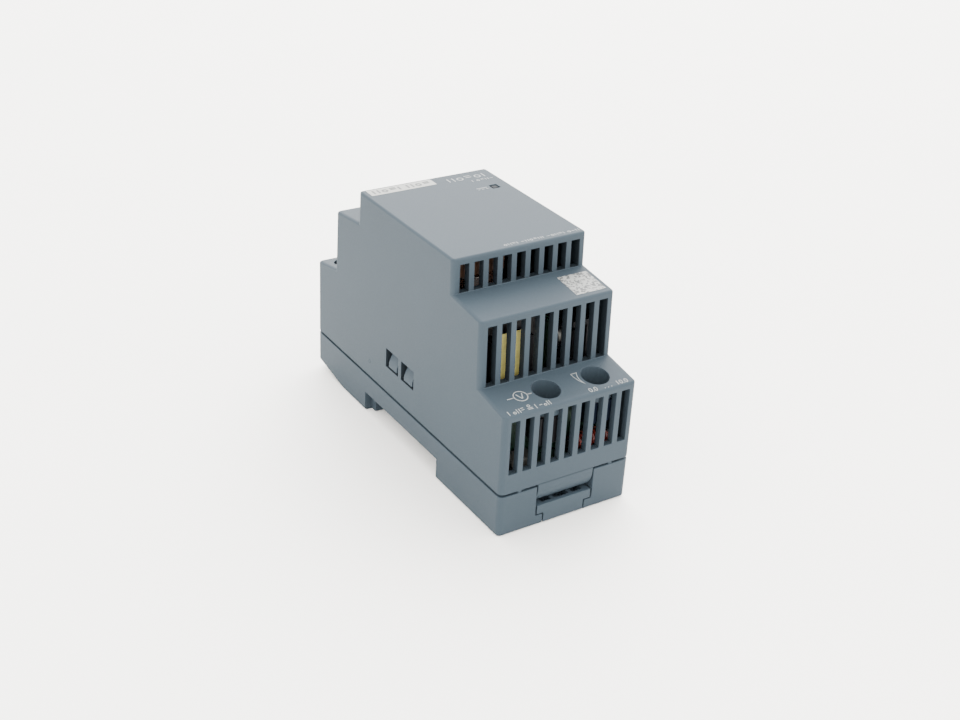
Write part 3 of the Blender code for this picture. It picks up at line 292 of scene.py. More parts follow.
# --- Materials ---
class Finish:
    """A Principled material with the few texture nodes that the finishes below share."""

    def __init__(self, name, roughness=0.5, metallic=0.0):
        self.material = bpy.data.materials.new(name)
        self.material.use_nodes = True
        self.tree = self.material.node_tree
        self.shader = self.tree.nodes["Principled BSDF"]
        self.shader.inputs["Roughness"].default_value = roughness
        self.shader.inputs["Metallic"].default_value = metallic
        self.place = self.tree.nodes.new("ShaderNodeTexCoord").outputs["Object"]

    def node(self, kind, inputs=(), **settings):
        made = self.tree.nodes.new("ShaderNode" + kind)
        for key, value in settings.items():
            setattr(made, key, value)
        for socket, value in dict(inputs).items():
            if isinstance(value, bpy.types.NodeSocket):
                self.tree.links.new(value, made.inputs[socket])
            else:
                made.inputs[socket].default_value = value
        return made

    def noise(self, size, detail=3.0, roughness=0.5, stretch=None):
        """Noise with features of that size, in metres."""
        place = self.place
        if stretch:
            place = self.node("Mapping", {"Vector": place, "Scale": stretch}).outputs["Vector"]
        made = self.node("TexNoise", {"Vector": place, "Scale": 1 / size, "Detail": detail,
                                      "Roughness": roughness})
        return made.outputs["Fac"]

    def ramp(self, factor, *stops):
        """Colours by position on a scale from 0 to 1."""
        made = self.node("ValToRGB", {"Fac": factor})
        ramp = made.color_ramp
        while len(ramp.elements) < len(stops):
            ramp.elements.new(0.5)
        for element, (position, colour) in zip(ramp.elements, stops):
            element.position = position
            element.color = (*colour, 1)
        return made.outputs["Color"]

    def spread(self, factor, low, high, low_in=0.3, high_in=0.7):
        """A value mapped onto the range from low to high."""
        made = self.node("MapRange", {"Value": factor, "From Min": low_in, "From Max": high_in,
                                      "To Min": low, "To Max": high})
        return made.outputs["Result"]

    def mix(self, factor, first, second, blend="MIX"):
        made = self.node("Mix", data_type="RGBA", blend_type=blend)
        for socket, value in ((0, factor), (6, first), (7, second)):
            if isinstance(value, bpy.types.NodeSocket):
                self.tree.links.new(value, made.inputs[socket])
            else:
                made.inputs[socket].default_value = value if socket == 0 else (*value, 1)
        return made.outputs[2]

    def colour(self, source):
        self.tree.links.new(source, self.shader.inputs["Base Color"])
        return self

    def rough(self, source):
        self.tree.links.new(source, self.shader.inputs["Roughness"])
        return self

    def bump(self, *layers):
        """Bumps as (height socket, strength, depth in metres), the coarsest first."""
        normal = None
        for height, strength, depth in layers:
            inputs = {"Height": height, "Strength": strength, "Distance": depth}
            if normal:
                inputs["Normal"] = normal
            normal = self.node("Bump", inputs).outputs["Normal"]
        self.tree.links.new(normal, self.shader.inputs["Normal"])
        return self


def shade(colour, factor):
    return tuple(min(1, channel * factor) for channel in colour)


def moulded(name, colour, roughness=0.5, grain=0.16 * MM, depth=0.012 * MM, variation=0.022):
    """Moulded plastic: a faint cloudiness and a fine eroded grain in colour, sheen and height."""
    finish = Finish(name, roughness)
    finish.shader.inputs["Specular IOR Level"].default_value = 0.12
    cloud = finish.noise(14 * MM, 4, 0.55)
    speck = finish.noise(0.45 * MM, 2)
    base = finish.ramp(cloud, (0.3, shade(colour, 1 - variation)), (0.7, shade(colour, 1 + variation)))
    finish.colour(finish.mix(finish.spread(speck, 0, 0.16), base, shade(colour, 0.86)))
    fine = finish.noise(grain, 2, 0.6)
    finish.rough(finish.spread(fine, roughness - 0.04, roughness + 0.06))
    return finish.bump((fine, 0.5, depth)).material


def metal(name, colour, roughness=0.3, stretch=(1, 1, 1), depth=0.006 * MM):
    """Plated or bare metal with drawn lines along one way and uneven tarnish."""
    finish = Finish(name, roughness, 1.0)
    tarnish = finish.noise(2.5 * MM, 4, 0.6)
    lines = finish.noise(0.25 * MM, 3, 0.6, stretch)
    finish.colour(finish.ramp(tarnish, (0.3, shade(colour, 0.78)), (0.7, shade(colour, 1.08))))
    finish.rough(finish.spread(lines, roughness - 0.08, roughness + 0.14))
    return finish.bump((lines, 0.4, depth)).material


def sleeve(name, colour, roughness=0.28):
    """Shrunk sleeve or lacquer: glossy, with slow ripples."""
    finish = Finish(name, roughness)
    ripple = finish.noise(1.8 * MM, 2)
    finish.colour(finish.ramp(finish.noise(5 * MM, 4), (0.3, shade(colour, 0.8)), (0.7, shade(colour, 1.15))))
    finish.rough(finish.spread(ripple, roughness - 0.08, roughness + 0.12))
    return finish.bump((ripple, 0.35, 0.05 * MM)).material


def wound(name, colour, pitch, axis="Z", roughness=0.3, metallic=0.6):
    """Enamelled wire: a tint that drifts from turn to turn and a glossy lacquer."""
    finish = Finish(name, roughness, metallic)
    stretch = tuple(1 if way == axis else 0.15 for way in "XYZ")
    turns = finish.noise(pitch, 2, 0.5, stretch)
    finish.colour(finish.ramp(turns, (0.3, shade(colour, 0.6)), (0.55, colour), (0.75, shade(colour, 1.6))))
    finish.rough(finish.spread(finish.noise(0.8 * MM), roughness - 0.1, roughness + 0.15))
    return finish.bump((finish.noise(0.5 * MM, 2), 0.3, 0.03 * MM)).material


def circuit_board(name):
    """Solder mask with paler tracks under it."""
    finish = Finish(name, 0.38)
    tracks = finish.node("TexBrick", {"Vector": finish.place, "Scale": 1 / (2.2 * MM),
                                      "Mortar Size": 0.035, "Mortar Smooth": 0.2, "Bias": 0.0,
                                      "Brick Width": 1.9, "Row Height": 0.55},
                         offset=0.37, squash=0.6)
    track = finish.spread(tracks.outputs["Fac"], 0, 0.7, 0.2, 0.8)
    mask = finish.ramp(finish.noise(6 * MM), (0.3, (0.0035, 0.015, 0.009)), (0.7, (0.005, 0.020, 0.012)))
    finish.colour(finish.mix(track, mask, (0.010, 0.042, 0.019)))
    finish.rough(finish.spread(finish.noise(0.6 * MM, 2), 0.3, 0.46))
    return finish.bump((track, 0.5, 0.03 * MM), (finish.noise(0.3 * MM, 2), 0.3, 0.008 * MM)).material


def tape(name, colour):
    """Stacked turns of thin film: fine level lines, a slow drift and a soft gloss."""
    finish = Finish(name, 0.34)
    lines = finish.noise(0.35 * MM, 2, 0.5, (0.1, 0.1, 1))
    drift = finish.ramp(finish.noise(3 * MM, 4), (0.3, shade(colour, 0.84)), (0.7, shade(colour, 1.06)))
    finish.colour(finish.mix(finish.spread(lines, 0, 0.45), drift, shade(colour, 0.62)))
    finish.rough(finish.spread(lines, 0.26, 0.42))
    return finish.bump((lines, 0.35, 0.04 * MM), (finish.noise(1.4 * MM), 0.3, 0.06 * MM)).material


def sintered(name, colour):
    finish = Finish(name, 0.55)
    pits = finish.noise(0.22 * MM, 4, 0.7)
    finish.colour(finish.ramp(pits, (0.32, shade(colour, 0.55)), (0.6, colour), (0.75, shade(colour, 1.5))))
    finish.rough(finish.spread(finish.noise(2 * MM), 0.42, 0.66))
    return finish.bump((pits, 0.6, 0.02 * MM)).material


def printed(name, ink, ground, wear=0.42):
    """Ink that lets the plastic show through where it is thin."""
    finish = Finish(name, 0.6)
    thin = finish.node("MapRange", {"Value": finish.noise(0.22 * MM, 4, 0.75), "From Min": wear - 0.05,
                                    "From Max": wear + 0.03, "To Min": 0.75, "To Max": 0.0}).outputs["Result"]
    fade = finish.ramp(finish.noise(3 * MM), (0.3, shade(ink, 0.88)), (0.7, ink))
    finish.colour(finish.mix(thin, fade, ground))
    return finish.bump((thin, 0.2, 0.01 * MM)).material


def speckled(name, ink, spots):
    """A pale patch with dark spots strewn over it."""
    finish = Finish(name, 0.55)
    cells = finish.node("TexVoronoi", {"Vector": finish.place, "Scale": 1 / (0.42 * MM), "Randomness": 1.0},
                        distance="CHEBYCHEV")
    pick = finish.node("SeparateColor", {"Color": cells.outputs["Color"]}).outputs["Red"]
    dark = finish.spread(pick, 0, 0.9, 0.6, 0.64)
    pale = finish.ramp(finish.noise(2 * MM), (0.3, shade(ink, 0.9)), (0.7, ink))
    finish.colour(finish.mix(dark, pale, spots))
    return finish.bump((dark, 0.2, 0.01 * MM)).material


def lens_glass(name):
    """A dull light guide, darker at its rim than in its middle: the darker rim is painted shade from the
    hole's wall.
    """
    finish = Finish(name, 0.22)
    finish.shader.inputs["Specular IOR Level"].default_value = 0.03
    shift = {"Vector": finish.place, "Location": (-LED_X, -LED_Y, 0)}
    centred = finish.node("Mapping", shift).outputs["Vector"]
    flat = finish.node("VectorMath", {0: centred, 1: (1, 1, 0)}, operation="MULTIPLY").outputs["Vector"]
    reach = finish.node("VectorMath", {0: flat}, operation="LENGTH").outputs["Value"]
    # Painted shade: the colour darkens from the middle out to the rim.
    rim = finish.spread(reach, 0, 1, 0.25 * MM, 1.0 * MM)
    haze = finish.noise(0.4 * MM)
    finish.colour(finish.mix(rim, (0.022, 0.025, 0.028), (0.006, 0.007, 0.009)))
    finish.rough(finish.spread(haze, 0.45, 0.6))
    return finish.bump((haze, 0.2, 0.02 * MM)).material


CASING_GREY = (0.0268, 0.0385, 0.0492)
INK = (0.20, 0.212, 0.212)
SHORT_LINES = (0.25, 1, 1)
FINISHES = {
    "casing_plastic": moulded("casing_plastic", CASING_GREY, 0.54),
    # Darker copies of the casing plastic: painted shade for the walls of the hollow, slots and windows, and
    # for the gate mark.
    "casing_painted_shade": moulded("casing_painted_shade", shade(CASING_GREY, 0.4), 0.6),
    "casing_painted_soft_shade": moulded("casing_painted_soft_shade", shade(CASING_GREY, 0.85), 0.6),
    "latch_plastic": moulded("latch_plastic", shade(CASING_GREY, 1.05), 0.46, 0.3 * MM, 0.006 * MM),
    "terminal_plastic": moulded("terminal_plastic", (0.010, 0.012, 0.015), 0.55),
    "black_plastic": moulded("black_plastic", (0.006, 0.006, 0.007), 0.45),
    "white_plastic": moulded("white_plastic", (0.045, 0.045, 0.042), 0.45, variation=0.03),
    "blue_plastic": moulded("blue_plastic", (0.0028, 0.0055, 0.013), 0.5),
    "yellow_box": moulded("yellow_box", (0.20, 0.13, 0.015), 0.38),
    # The zinc plate is set darker than bare zinc, partly as painted shade for the screws inside the casing.
    "zinc_steel": metal("zinc_steel", (0.30, 0.295, 0.28), 0.36, SHORT_LINES),
    "spring_steel": metal("spring_steel", (0.25, 0.25, 0.25), 0.3),
    "tinned_copper": metal("tinned_copper", (0.32, 0.31, 0.285), 0.34, SHORT_LINES),
    # Painted shade: the aluminium is made near black so the heat sinks inside the casing read as shade.
    "aluminium": metal("aluminium", (0.035, 0.035, 0.038), 0.5, (1, 0.08, 1)),
    "board": circuit_board("board"),
    "ferrite": sintered("ferrite", (0.009, 0.0085, 0.009)),
    "yellow_tape": tape("yellow_tape", (0.40, 0.36, 0.115)),
    "red_copper": wound("red_copper", (0.10, 0.012, 0.009), 0.92 * MM, "X", 0.2, 0.2),
    "amber_copper": wound("amber_copper", (0.05, 0.018, 0.007), 0.52 * MM),
    "brown_sleeve": sleeve("brown_sleeve", (0.020, 0.0085, 0.005)),
    "dark_sleeve": sleeve("dark_sleeve", (0.005, 0.006, 0.014)),
    "blue_coat": sleeve("blue_coat", (0.008, 0.028, 0.09), 0.3),
    "green_coat": sleeve("green_coat", (0.007, 0.022, 0.009), 0.34),
    "green_lens": sleeve("green_lens", (0.05, 0.14, 0.055), 0.2),
    "amber_film": sleeve("amber_film", (0.028, 0.013, 0.0065), 0.35),
    "lens": lens_glass("lens"),
    "print": printed("print", INK, CASING_GREY),
    "plate": printed("plate", (0.27, 0.272, 0.255), (0.15, 0.155, 0.155), 0.3),
    "plate_print": printed("plate_print", (0.07, 0.075, 0.075), (0.16, 0.16, 0.152), 0.36),
    "speckle": speckled("speckle", (0.205, 0.21, 0.202), (0.018, 0.021, 0.023)),
    "solder": metal("solder", (0.26, 0.26, 0.25), 0.3),
}


# --- Hood ---
def tread_height(y):
    """Height of the hood's upper side at y."""
    for (y0, z0), (y1, z1) in zip(PROFILE, PROFILE[1:]):
        if y0 <= y <= y1:
            return z0 + (z1 - z0) * (y - y0) / (y1 - y0)
    return PROFILE[0][1]


def stepped_block(name, inset, low_z):
    """The hood's stepped form, set in by a wall: a block cut at each riser, its top pulled to the treads."""
    half, end = HALF_W - inset, END_Y - inset
    middle = len(PROFILE) // 2
    steps = [(y + (inset if i < middle else -inset), z - inset) for i, (y, z) in enumerate(PROFILE)]
    top = TOP_Z - inset
    piece = block(name, (-half, -end, low_z), (half, end, top))
    with editing(piece):
        for y, z in steps[1:-1]:
            bpy.ops.mesh.select_all(action="SELECT")
            bpy.ops.mesh.bisect(plane_co=(0, y, 0), plane_no=(0, 1, 0))
    for i, (y, z) in enumerate(steps):
        start = -end if i == 0 else end if i == len(steps) - 1 else y
        with editing(piece, "VERT"):
            pick_verts(piece, lambda co: same(co.y, start) and same(co.z, top))
            bpy.ops.transform.translate(value=(0, y - start, z - top))
    return piece


def weigh_edges(piece, share):
    """Sets each edge's bevel weight by its two ends."""
    weights = piece.data.attributes.new("bevel_weight_edge", "FLOAT", "EDGE")
    points = piece.data.vertices
    for edge in piece.data.edges:
        a, b = (points[i].co for i in edge.vertices)
        weights.data[edge.index].value = share(a, b)


def outer_weight(a, b):
    """Full rounding on upright corners, half on the other outer edges, none on inner corners and the rim."""
    side = same(a.x, b.x) and same(abs(a.x), HALF_W)
    along_x = same(abs(a.x - b.x), 2 * HALF_W)
    upright = abs(a.z - b.z) > 6 * abs(a.y - b.y)
    above_rim = min(a.z, b.z) > HOOD_Z + MM
    if side and upright:
        return 1.0 if above_rim or abs(a.y) > END_Y - MM else 0.0
    if side and above_rim:
        return RIM
    inner_corner = any(same(a.y, PROFILE[i][0]) for i in RISER_FEET)
    if along_x and a.z > HOOD_Z + MM and not inner_corner:
        return RIM
    return 0.0


def near_collar(x):
    """The short tube that leads a probe or a blade down from a near hole."""
    top, low = tread_height(NEAR_HOLE_Y) - WALL / 2, COLLAR_Z
    return rod("collar", (x, NEAR_HOLE_Y, (top + low) / 2), NEAR_HOLE_RADIUS + 0.8 * MM, top - low, sides=48)


def make_hood():
    hood = stepped_block("hood_shell", 0, HOOD_Z)
    weigh_edges(hood, outer_weight)
    use(hood, "BEVEL", width=CORNER, segments=5, limit_method="WEIGHT", use_clamp_overlap=False)
    for name in CASING_AND_PAINTED_SHADE_FINISHES:
        hood.data.materials.append(FINISHES[name])
    # The hollow, slots and windows are lined with the darker casing copies, painted shade on their walls.
    carve(hood, lined(stepped_block("hollow", WALL, HOOD_Z - MM)))
    reach = WALL + 1.2 * MM
    first = -(SLOTS - 1) / 2 * SLOT_PITCH
    for face_y, low_z, high_z, painted_shade_index in SLOT_ROWS:
        slot = block("slot", (first - SLOT_WIDTH / 2, face_y - MM, low_z),
                     (first + SLOT_WIDTH / 2, face_y + reach, high_z))
        carve(hood, row_of(lined(slot, painted_shade_index), SLOTS, (SLOT_PITCH, 0, 0)))
    for y in WINDOW_Y:
        carve(hood, lined(block("window", (-HALF_W - MM, y - WINDOW_LENGTH / 2, WINDOW_LOW),
                                (HALF_W + MM, y + WINDOW_LENGTH / 2, WINDOW_HIGH))))
    for x in (SOCKET_X, TRIMMER_X):
        add(hood, near_collar(x))
    holes = [((x, NEAR_HOLE_Y), NEAR_HOLE_RADIUS) for x in (SOCKET_X, TRIMMER_X)]
    holes += [(spot, INPUT_HOLE_RADIUS) for spot in INPUT_POLES]
    holes += [(spot, OUTPUT_HOLE_RADIUS) for spot in OUTPUT_POLES]
    for (x, y), radius in holes:
        carve(hood, rod("hole", (x, y, tread_height(y)), radius, 12 * MM, sides=64))
    for poles, face_y, low_z in ((INPUT_POLES, END_Y, INPUT_WIRE_Z),
                                 (OUTPUT_POLES, OUTPUT_FACE_Y, OUTPUT_WIRE_Z)):
        for x, y in poles:
            carve(hood, block("entry", (x - WIRE_ENTRY / 2, face_y - 2 * WALL, low_z),
                              (x + WIRE_ENTRY / 2, face_y + WALL, low_z + WIRE_ENTRY)))
    carve(hood, block("indicator_hole", (LED_X - LED_HALF, LED_Y - LED_HALF, TOP_Z - 2 * WALL),
                      (LED_X + LED_HALF, LED_Y + LED_HALF, TOP_Z + WALL)))
    add(hood, make_tongue())
    soften(hood)
    dress(hood, "casing_plastic", "casing", "hood")
    # The gate mark: a thin ring in a darker casing copy, painted shade for a small dimple.
    centre = (-HALF_W, 16 * MM, 15.5 * MM)
    gate = rod("gate_mark", centre, 0.55 * MM, 0.04 * MM, "X", 32)
    carve(gate, rod("inside", centre, 0.42 * MM, MM, "X", 32))
    dress(gate, "casing_painted_soft_shade", "casing")


def make_tongue():
    """The curved lip under the hood's near face; it leans in where it meets the hood."""
    tongue = block("tongue", (-LATCH_HALF - 0.1 * MM, -END_Y, TONGUE_Z - 1.3 * MM),
                   (LATCH_HALF + 0.1 * MM, -END_Y + TONGUE_RADIUS, HOOD_Z + 0.6 * MM))
    round_edges(tongue, lambda a, b: same(a.y, -END_Y) and same(b.y, -END_Y) and max(a.z, b.z) < TONGUE_Z,
                TONGUE_RADIUS, 10)
    carve(tongue, block("tongue_end", (-HALF_W, TONGUE_BACK, 0), (HALF_W, 0, TOP_Z)),
          block("tongue_under", (-HALF_W, -END_Y, 0), (HALF_W, 0, TONGUE_Z)))
    with editing(tongue, "VERT"):
        bpy.ops.mesh.select_all(action="SELECT")
        bpy.ops.mesh.bisect(plane_co=(0, 0, HOOD_Z), plane_no=(0, 0, 1))
        bpy.ops.mesh.select_all(action="DESELECT")
        pick_verts(tongue, lambda co: same(co.y, -END_Y) and co.z > HOOD_Z + 0.5 * MM)
        bpy.ops.transform.translate(value=(0, 0.05 * MM, 0))
    return tongue


# --- Base ---
def base_weight(a, b):
    upright = same(a.x, b.x) and same(a.y, b.y) and same(abs(a.x), HALF_W)
    if upright:
        return 1.0
    return RIM if max(a.z, b.z) < TOE_Z + 0.1 * MM else 0.0


def snap_arm(side, y):
    """A snap finger whose barb curves out to the hood's face."""
    face, outer, inner = HALF_W - 0.2 * MM, 16.0 * MM, 14.8 * MM
    low, high = WINDOW_LOW + GAP, WINDOW_HIGH - 0.2 * MM
    bulges = ((low + 1.2 * MM, 0.35 * MM), (low + 2.5 * MM, 0.32 * MM))   # height and how far it swells
    arm = block("arm", (inner, y - ARM_WIDTH / 2, SEAM_Z - MM), (outer, y + ARM_WIDTH / 2, high))
    barb = block("barb", (inner, y - ARM_WIDTH / 2, low), (face, y + ARM_WIDTH / 2, high))
    with editing(barb, "VERT"):
        pick_verts(barb, lambda co: same(co.x, face) and same(co.z, high))
        bpy.ops.transform.translate(value=(-1.6 * MM, 0, 0))
        for height, _ in bulges:
            bpy.ops.mesh.select_all(action="SELECT")
            bpy.ops.mesh.bisect(plane_co=(0, 0, height), plane_no=(0, 0, 1))
        for height, swell in bulges:
            bpy.ops.mesh.select_all(action="DESELECT")
            pick_verts(barb, lambda co: same(co.z, height) and co.x > outer)
            bpy.ops.transform.translate(value=(swell, 0, 0))
    add(arm, barb)
    if side < 0:
        take(arm)
        arm.scale.x = -1
        settle(arm, "arm")
        with editing(arm, "FACE"):
            bpy.ops.mesh.select_all(action="SELECT")
            bpy.ops.mesh.normals_make_consistent(inside=False)
    return arm


def make_base():
    near, far = RECESS
    base = block("base_tray", (-HALF_W, -END_Y, 0), (HALF_W, END_Y, SEAM_Z))
    with editing(base):
        bpy.ops.mesh.select_all(action="SELECT")
        bpy.ops.mesh.bisect(plane_co=(0, SOLE_END_Y, 0), plane_no=(0, 1, 0))
    with editing(base, "VERT"):
        pick_verts(base, lambda co: same(co.y, END_Y) and same(co.z, 0))
        bpy.ops.transform.translate(value=(0, 0, TOE_Z))
    weigh_edges(base, base_weight)
    use(base, "BEVEL", width=CORNER, segments=5, limit_method="WEIGHT", use_clamp_overlap=False)
    carve(base, block("recess", (-HALF_W - MM, near, -MM), (HALF_W + MM, far, SEAT_Z)))
    lip_x, lip_y = HALF_W - WALL - GAP, END_Y - WALL - GAP
    in_x, in_y = HALF_W - RIM_WALL, END_Y - RIM_WALL
    channel = LATCH_HALF + GAP
    add(base, block("lip", (-lip_x, -lip_y, SEAM_Z - FLOOR), (lip_x, lip_y, SEAM_Z + 2 * MM)))
    carve(base,
          block("hollow", (-in_x, -in_y, FLOOR_Z), (in_x, in_y, TOP_Z)),
          block("near_pocket", (-in_x, -in_y, FLOOR), (-channel - WALL, near - WALL, FLOOR_Z + MM)),
          block("near_pocket", (channel + WALL, -in_y, FLOOR), (in_x, near - WALL, FLOOR_Z + MM)),
          block("far_pocket", (-in_x, far + WALL, 2 * FLOOR), (in_x, in_y, FLOOR_Z + MM)),
          block("channel_wings", (-channel, -END_Y - MM, WING_Z - GAP),
                (channel, near + MM, LATCH_TOP + GAP)),
          block("channel_stem", (-STEM_HALF - GAP, -END_Y - MM, -MM), (STEM_HALF + GAP, near + MM, WING_Z)),
          block("tongue_room", (-channel - 0.1 * MM, -END_Y - MM, LATCH_TOP + 0.2 * MM),
                (channel + 0.1 * MM, -END_Y + 4 * MM, TOP_Z)))
    add(base, block("tongue_wall", (-channel - WALL, -END_Y + 4 * MM, LATCH_TOP + 0.7 * MM),
                    (channel + WALL, -END_Y + 4 * MM + WALL, SEAM_Z)))
    for side in (-1, 1):
        hook_x = side * (HALF_W - 2 * MM - HOOK_HALF)
        add(base, block("hook", (hook_x - HOOK_HALF, far - 2 * MM, 0),
                        (hook_x + HOOK_HALF, far + 0.5 * MM, HOOK_TOP)))
        tab_x = side * 12.6 * MM
        add(base, block("seam_tab", (tab_x - 0.5 * MM, -END_Y + 0.2 * MM, SEAM_Z - MM),
                        (tab_x + 0.5 * MM, -END_Y + 1.2 * MM, HOOD_Z - 0.1 * MM)))
        for y in WINDOW_Y:
            add(base, snap_arm(side, y))
    soften(base)
    return dress(base, "casing_plastic", "casing", "base")


# --- Rail latch ---
def make_latch():
    low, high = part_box("rail_latch")
    near, back = low.y, RECESS[0] - 0.6 * MM
    latch = block("latch_slider", (-LATCH_HALF, near, WING_Z), (LATCH_HALF, back, LATCH_TOP))
    add(latch, block("stem", (-STEM_HALF, near, low.z), (STEM_HALF, back, WING_Z + 0.5 * MM)))
    nose = block("nose", (-5.2 * MM, back - MM, low.z + 0.2 * MM), (5.2 * MM, high.y, HOOK_TOP))
    round_edges(nose, lambda a, b: same(a.y, high.y) and same(b.y, high.y) and max(a.z, b.z) < MM,
                1.4 * MM, 4)
    add(latch, nose)
    for x0, x1 in ((-5.6, -3.0), (-1.95, 1.95), (3.0, 5.6)):
        carve(latch, block("pocket", (x0 * MM, near + 1.1 * MM, LATCH_TOP - 2 * MM),
                           (x1 * MM, near + 4.1 * MM, LATCH_TOP + MM)))
    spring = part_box("latch_spring")
    carve(latch, block("spring_slot", (-1.9 * MM, spring[0].y - 2.3 * MM, low.z + 1.9 * MM),
                       (1.9 * MM, spring[1].y + GAP, LATCH_TOP + MM)))
    soften(latch, 0.15 * MM)
    return dress(latch, "latch_plastic", "latch", "rail_latch")


# --- Terminals and screws ---
POLES = ["in_1", "in_2", "out_1", "out_2", "out_3", "out_4"]


def slotted_screw(name, head_radius, head_height, shank_radius, length):
    """A screw with its head's underside at the origin: bevelled head, combined drive, rolled thread."""
    head = rod(name, (0, 0, head_height / 2), head_radius, head_height, sides=40)
    round_edges(head, lambda a, b: same(a.z, head_height) and same(b.z, head_height), 0.25 * MM)
    slot, arm = 0.35 * MM, 1.5 * MM
    carve(head, block("slot", (-4 * MM, -slot, head_height - MM), (4 * MM, slot, head_height + MM)),
          block("cross", (-slot, -arm, head_height - 0.8 * MM), (slot, arm, head_height + MM)))
    shank = rod("shank", (0, 0, -length / 2 + 0.1 * MM), shank_radius - 0.16 * MM, length - 0.2 * MM,
                sides=24)
    round_edges(shank, lambda a, b: a.z < -length / 2 and b.z < -length / 2, 0.3 * MM)
    add(head, shank)
    pitch, ridge = 0.5 * MM, 0.15 * MM
    bpy.ops.object.select_all(action="DESELECT")
    bpy.ops.mesh.primitive_torus_add(location=(0, 0, -0.6 * MM), rotation=(math.radians(3), 0, 0),
                                     major_segments=24, minor_segments=6,
                                     major_radius=shank_radius - ridge, minor_radius=ridge)
    thread = row_of(settle(bpy.context.object, "thread"), int((length - 1.1 * MM) / pitch), (0, 0, -pitch))
    soften(head, 0.06 * MM)
    return joined(name, head, thread)


def make_terminals():
    low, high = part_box("screw_in_1")
    head_height = 1.8 * MM
    pattern = slotted_screw("pole_screw", 2.3 * MM, head_height, 1.5 * MM, high.z - low.z - head_height)
    for pole in POLES:
        node = "screw_" + pole
        low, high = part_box(node)
        screw = copied(pattern, node + "_fine",
                       ((low.x + high.x) / 2, (low.y + high.y) / 2, high.z - head_height))
        dress(screw, "zinc_steel", node, node)
    bpy.data.objects.remove(pattern)
    for pole in POLES:
        low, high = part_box("cage_" + pole)
        groove = block("groove", (low.x + 0.9 * MM, low.y + 0.5 * MM, low.z + 0.65 * MM),
                       (high.x - 0.9 * MM, low.y + 0.8 * MM, low.z + MM))
        refined("cage_" + pole, 0.2 * MM, cuts=[row_of(groove, 5, (0, 0.9 * MM, 0))])
        low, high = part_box("contact_" + pole)
        rib = rod("rib", (0, 0, 0), 0.2 * MM, 1.8 * MM, "X", 12)
        rib = settle(row_of(rib, 4, (0, 0.8 * MM, 0)), "ribs")
        rib.location = ((low.x + high.x) / 2, high.y - 3.2 * MM, high.z - 0.05 * MM)
        refined("contact_" + pole, 0.1 * MM, extras=[settle(rib, "ribs")])
    for node in ("input_terminal_body", "output_terminal_body"):
        refined(node, 0.15 * MM)


def make_film():
    """A folded insulating film under the hood's top, above the transformer."""
    ceiling = TOP_Z - WALL - 0.1 * MM
    left, right, near, thick = -15.4 * MM, -2.6 * MM, -18.6 * MM, 0.25 * MM
    film = block("insulating_film", (left, near, ceiling - 4.5 * MM), (right, near + thick, ceiling))
    fold = block("fold", (left, near, ceiling - thick), (right, -9.0 * MM, ceiling))
    add(film, fold)
    soften(film, 0.06 * MM)
    dress(film, "amber_film", "casing")


# --- Wound parts ---
def make_tape_and_cheeks():
    """The outer tape on the bobbin's near side, and the bobbin's black cheeks."""
    low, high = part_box("transformer_bobbin")
    wrap = block("outer_tape", (low.x + 0.6 * MM, low.y - 0.3 * MM, low.z + 12.5 * MM),
                 (high.x - 1.9 * MM, low.y - 0.02 * MM, high.z + 2.3 * MM))
    round_edges(wrap, lambda a, b: same(a.z, b.z) and a.z > high.z + MM and same(a.y, b.y), 0.13 * MM)
    soften(wrap, 0.03 * MM)
    dress(wrap, "yellow_tape", "casing")
    cheeks = joined("bobbin_cheeks",
                    block("cheek", (low.x, low.y + 0.1 * MM, low.z + 12.1 * MM),
                          (low.x + 0.35 * MM, high.y - 0.1 * MM, high.z - 0.2 * MM)),
                    block("cheek", (high.x - 1.9 * MM, low.y + 0.05 * MM, low.z + 12.1 * MM),
                          (high.x, low.y + 0.4 * MM, high.z - 0.2 * MM)))
    soften(cheeks, 0.08 * MM)
    dress(cheeks, "black_plastic", "casing")


def make_transformer():
    for node in ("transformer_core_lower", "transformer_core_upper"):
        refined(node, 0.25 * MM)
    refined("transformer_bobbin")
    make_tape_and_cheeks()
    low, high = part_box("transformer_winding")
    middle, size = (low + high) / 2, high - low
    winding = block("winding_core", low + Vector((0.1, 0.1, 0)) * MM, high - Vector((0.1, 0.1, 0)) * MM)
    band = block("band", low, (high.x, high.y, low.z + size.z / 3 - 0.12 * MM))
    row_of(band, 3, (0, 0, size.z / 3 + 0.06 * MM))
    for piece in (winding, band):
        round_edges(piece, lambda a, b: same(a.x, b.x) and same(a.y, b.y), 1.0 * MM, 5)
    add(winding, band)
    tail = block("tape_end", (middle.x - MM, low.y - 0.08 * MM, low.z + 0.2 * MM),
                 (middle.x + 1.4 * MM, low.y + 0.5 * MM, high.z - 0.2 * MM))
    add(winding, tail)
    bobbin_low, bobbin_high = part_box("transformer_bobbin")
    bore_x, bore_y = size.x / 2 - 1.65 * MM, size.y / 2 - 1.7 * MM
    carve(winding, block("bore", (middle.x - bore_x, middle.y - bore_y, bobbin_low.z),
                         (middle.x + bore_x, middle.y + bore_y, bobbin_high.z)))
    soften(winding, 0.05 * MM)
    dress(winding, "yellow_tape", "casing", "transformer_winding")


